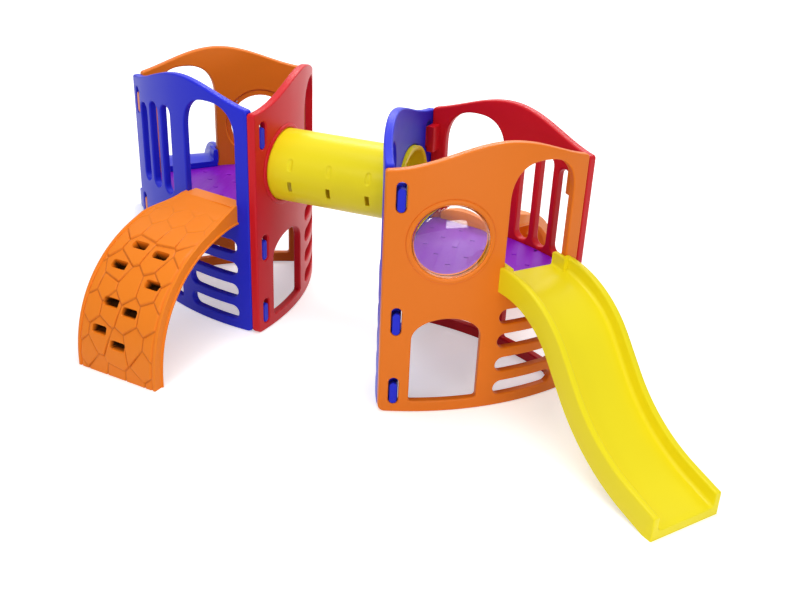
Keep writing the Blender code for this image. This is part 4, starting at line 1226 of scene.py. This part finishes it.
def zinc(name):
    made, tree = node_material(name)
    place = {"Scale": 260.0, "Vector": object_place(tree)}
    spangle = wire(tree, "ShaderNodeTexVoronoi", "Distance", place)
    surface = {"Metallic": 1.0, "Base Color": blended(tree, spangle, *ZINC_TONES)}
    surface["Roughness"] = mapped(tree, spangle, (0.0, 1.0), (0.28, 0.45))
    feed(tree, tree.nodes["Principled BSDF"], surface)
    return made


# Studio


def seen_rays(tree):
    """One for what the eye sees, straight, in a reflection or through the bubble, and nought for light."""
    path = tree.nodes.new("ShaderNodeLightPath")
    value = path.outputs["Is Camera Ray"]
    for kind in ("Is Glossy Ray", "Is Transmission Ray"):
        value = wire(tree, "ShaderNodeMath", "Value", {0: value, 1: path.outputs[kind]}, operation="MAXIMUM")
    return value


def studio_floor():
    """A white floor that keeps shadows and otherwise fades into the white background."""
    half = FLOOR_SIZE / 2
    corners = [(x, y, -FLOOR_DROP) for x, y in ((-half, -half), (half, -half), (half, half), (-half, half))]
    mesh = bpy.data.meshes.new("studio_floor")
    mesh.from_pydata(corners, [], [(0, 1, 2, 3)])
    floor = new_object("studio_floor", mesh)
    made, tree = node_material("studio_white")
    shader = tree.nodes["Principled BSDF"]
    feed(tree, shader, {"Base Color": FLOOR_COLOUR, "Roughness": 0.9, "Specular IOR Level": 0.1})
    reach = wire(tree, "ShaderNodeVectorMath", "Value", {0: object_place(tree)}, operation="LENGTH")
    glow = mapped(tree, reach, FLOOR_FADE, FLOOR_GLOW, interpolation_type="SMOOTHSTEP")
    share = wire(tree, "ShaderNodeMath", "Value", {0: seen_rays(tree), 1: glow}, operation="MULTIPLY")
    white = wire(tree, "ShaderNodeEmission", "Emission", {"Strength": share})
    both = wire(tree, "ShaderNodeAddShader", "Shader", {0: shader.outputs["BSDF"], 1: white})
    feed(tree, tree.nodes["Material Output"], {"Surface": both})
    mesh.materials.append(made)


def studio_world():
    """White to the eye, and a soft even light for the rest."""
    world = bpy.data.worlds.new("studio_world")
    bpy.context.scene.world = world
    world.use_nodes = True
    tree = world.node_tree
    sky = tree.nodes["Background"]
    feed(tree, sky, {"Color": WHITE, "Strength": WORLD_LIGHT})
    white = wire(tree, "ShaderNodeBackground", "Background", {"Color": WHITE, "Strength": 1.0})
    sides = {"Fac": seen_rays(tree), 1: sky.outputs["Background"], 2: white}
    feed(tree, tree.nodes["World Output"], {"Surface": wire(tree, "ShaderNodeMixShader", "Shader", sides)})


def softbox(name, place, target, size, power):
    light = bpy.data.lights.new(name, "AREA")
    light.shape = "RECTANGLE"
    light.size, light.size_y = size
    light.energy = power
    lamp = new_object(name, light)
    aim = Vector(target) - Vector(place)
    lamp.matrix_world = Matrix.Translation(place) @ aim.to_track_quat("-Z", "Y").to_matrix().to_4x4()


def camera(middle):
    data = bpy.data.cameras.new("photo_camera")
    data.lens = CAMERA_LENS
    data.sensor_width = CAMERA_SENSOR
    holder = new_object("photo_camera", data)
    turn = Matrix.Rotation(-CAMERA_YAW, 4, "Z") @ Matrix.Rotation(pi / 2 - CAMERA_PITCH, 4, "X")
    turn @= Matrix.Rotation(CAMERA_ROLL, 4, "Z")
    holder.matrix_world = Matrix.Translation(middle + CAMERA_FROM_TUNNEL) @ turn
    bpy.context.scene.camera = holder


# Assembly


def put(piece, matrix, body, slot, *nodes):
    """Place a piece in the row frame, tie it to its CAD body and hide the CAD nodes it stands for."""
    piece.data.transform(matrix)
    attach(piece, body)
    if nodes:
        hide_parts(*nodes)


def tower(side, root, paint, slots):
    base = root @ tower_frame()
    beside = base @ next_panel_frame()
    frames = {"tunnel": base, "window": beside, "bars": beside @ next_panel_frame()}
    for kind, place in frames.items():
        node = f"{side}_{kind}_panel"
        put(panel(kind, f"{node}_shell", paint[slots[kind]]), place, "frame", slots[kind], node)
    node = f"{side}_platform"
    put(platform(f"{node}_deck", paint[slots["platform"]]), base, "frame", slots["platform"], node)
    node = f"{side}_window_dome"
    put(dome(f"{node}_bubble", paint["clear"]), frames["window"], "frame", "clear_dome", node)
    hung = (("slide", "wave_slide", "window", wave_slide), ("ramp", "climbing_ramp", "bars", climbing_ramp))
    for part, kind, wall, make in hung:
        node = f"{side}_{kind}"
        piece = make(f"{node}_moulding", HANGING[node], paint[slots[part]])
        put(piece, frames[wall] @ wall_frame(DOOR_AT), f"{side}_{part}", slots[part], node)


def dress_cad_nodes(nodes, paint):
    """Give the CAD nodes that stay in view their procedural materials."""
    for name, thing in nodes.items():
        for word, finish in CAD_FINISHES.items():
            if word in name:
                thing.data.materials.clear()
                thing.data.materials.append(paint[finish])


def main():
    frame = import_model()
    low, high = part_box("crawl_tunnel")
    middle = (low + high) / 2
    middle.z = 0.0
    paint = {name: plastic(f"{name}_plastic", *look) for name, look in PLASTICS.items()}
    paint["clear"] = clear_plastic("clear_bubble")
    paint["zinc"] = zinc("zinc_plate")
    shared = {"window": "orange", "platform": "purple", "ramp": "ramp_orange"}
    towers = {
        "right": (0.0, {**shared, "tunnel": "blue", "bars": "red", "slide": "yellow"}),
        "left": (pi, {**shared, "tunnel": "red", "bars": "blue", "slide": "blue"}),
    }
    for side, (turn, slots) in towers.items():
        tower(side, placed(*middle.xy, turn=turn), paint, slots)
    tube = crawl_tunnel("crawl_tunnel_tube", paint["yellow"])
    put(tube, placed(*middle.xy), "frame", "yellow", "crawl_tunnel")
    dress_cad_nodes(frame["nodes"], paint)
    studio_floor()
    studio_world()
    for lamp in LAMPS:
        softbox(*lamp)
    camera(middle)
    bpy.context.scene.view_settings.view_transform = "Standard"


main()
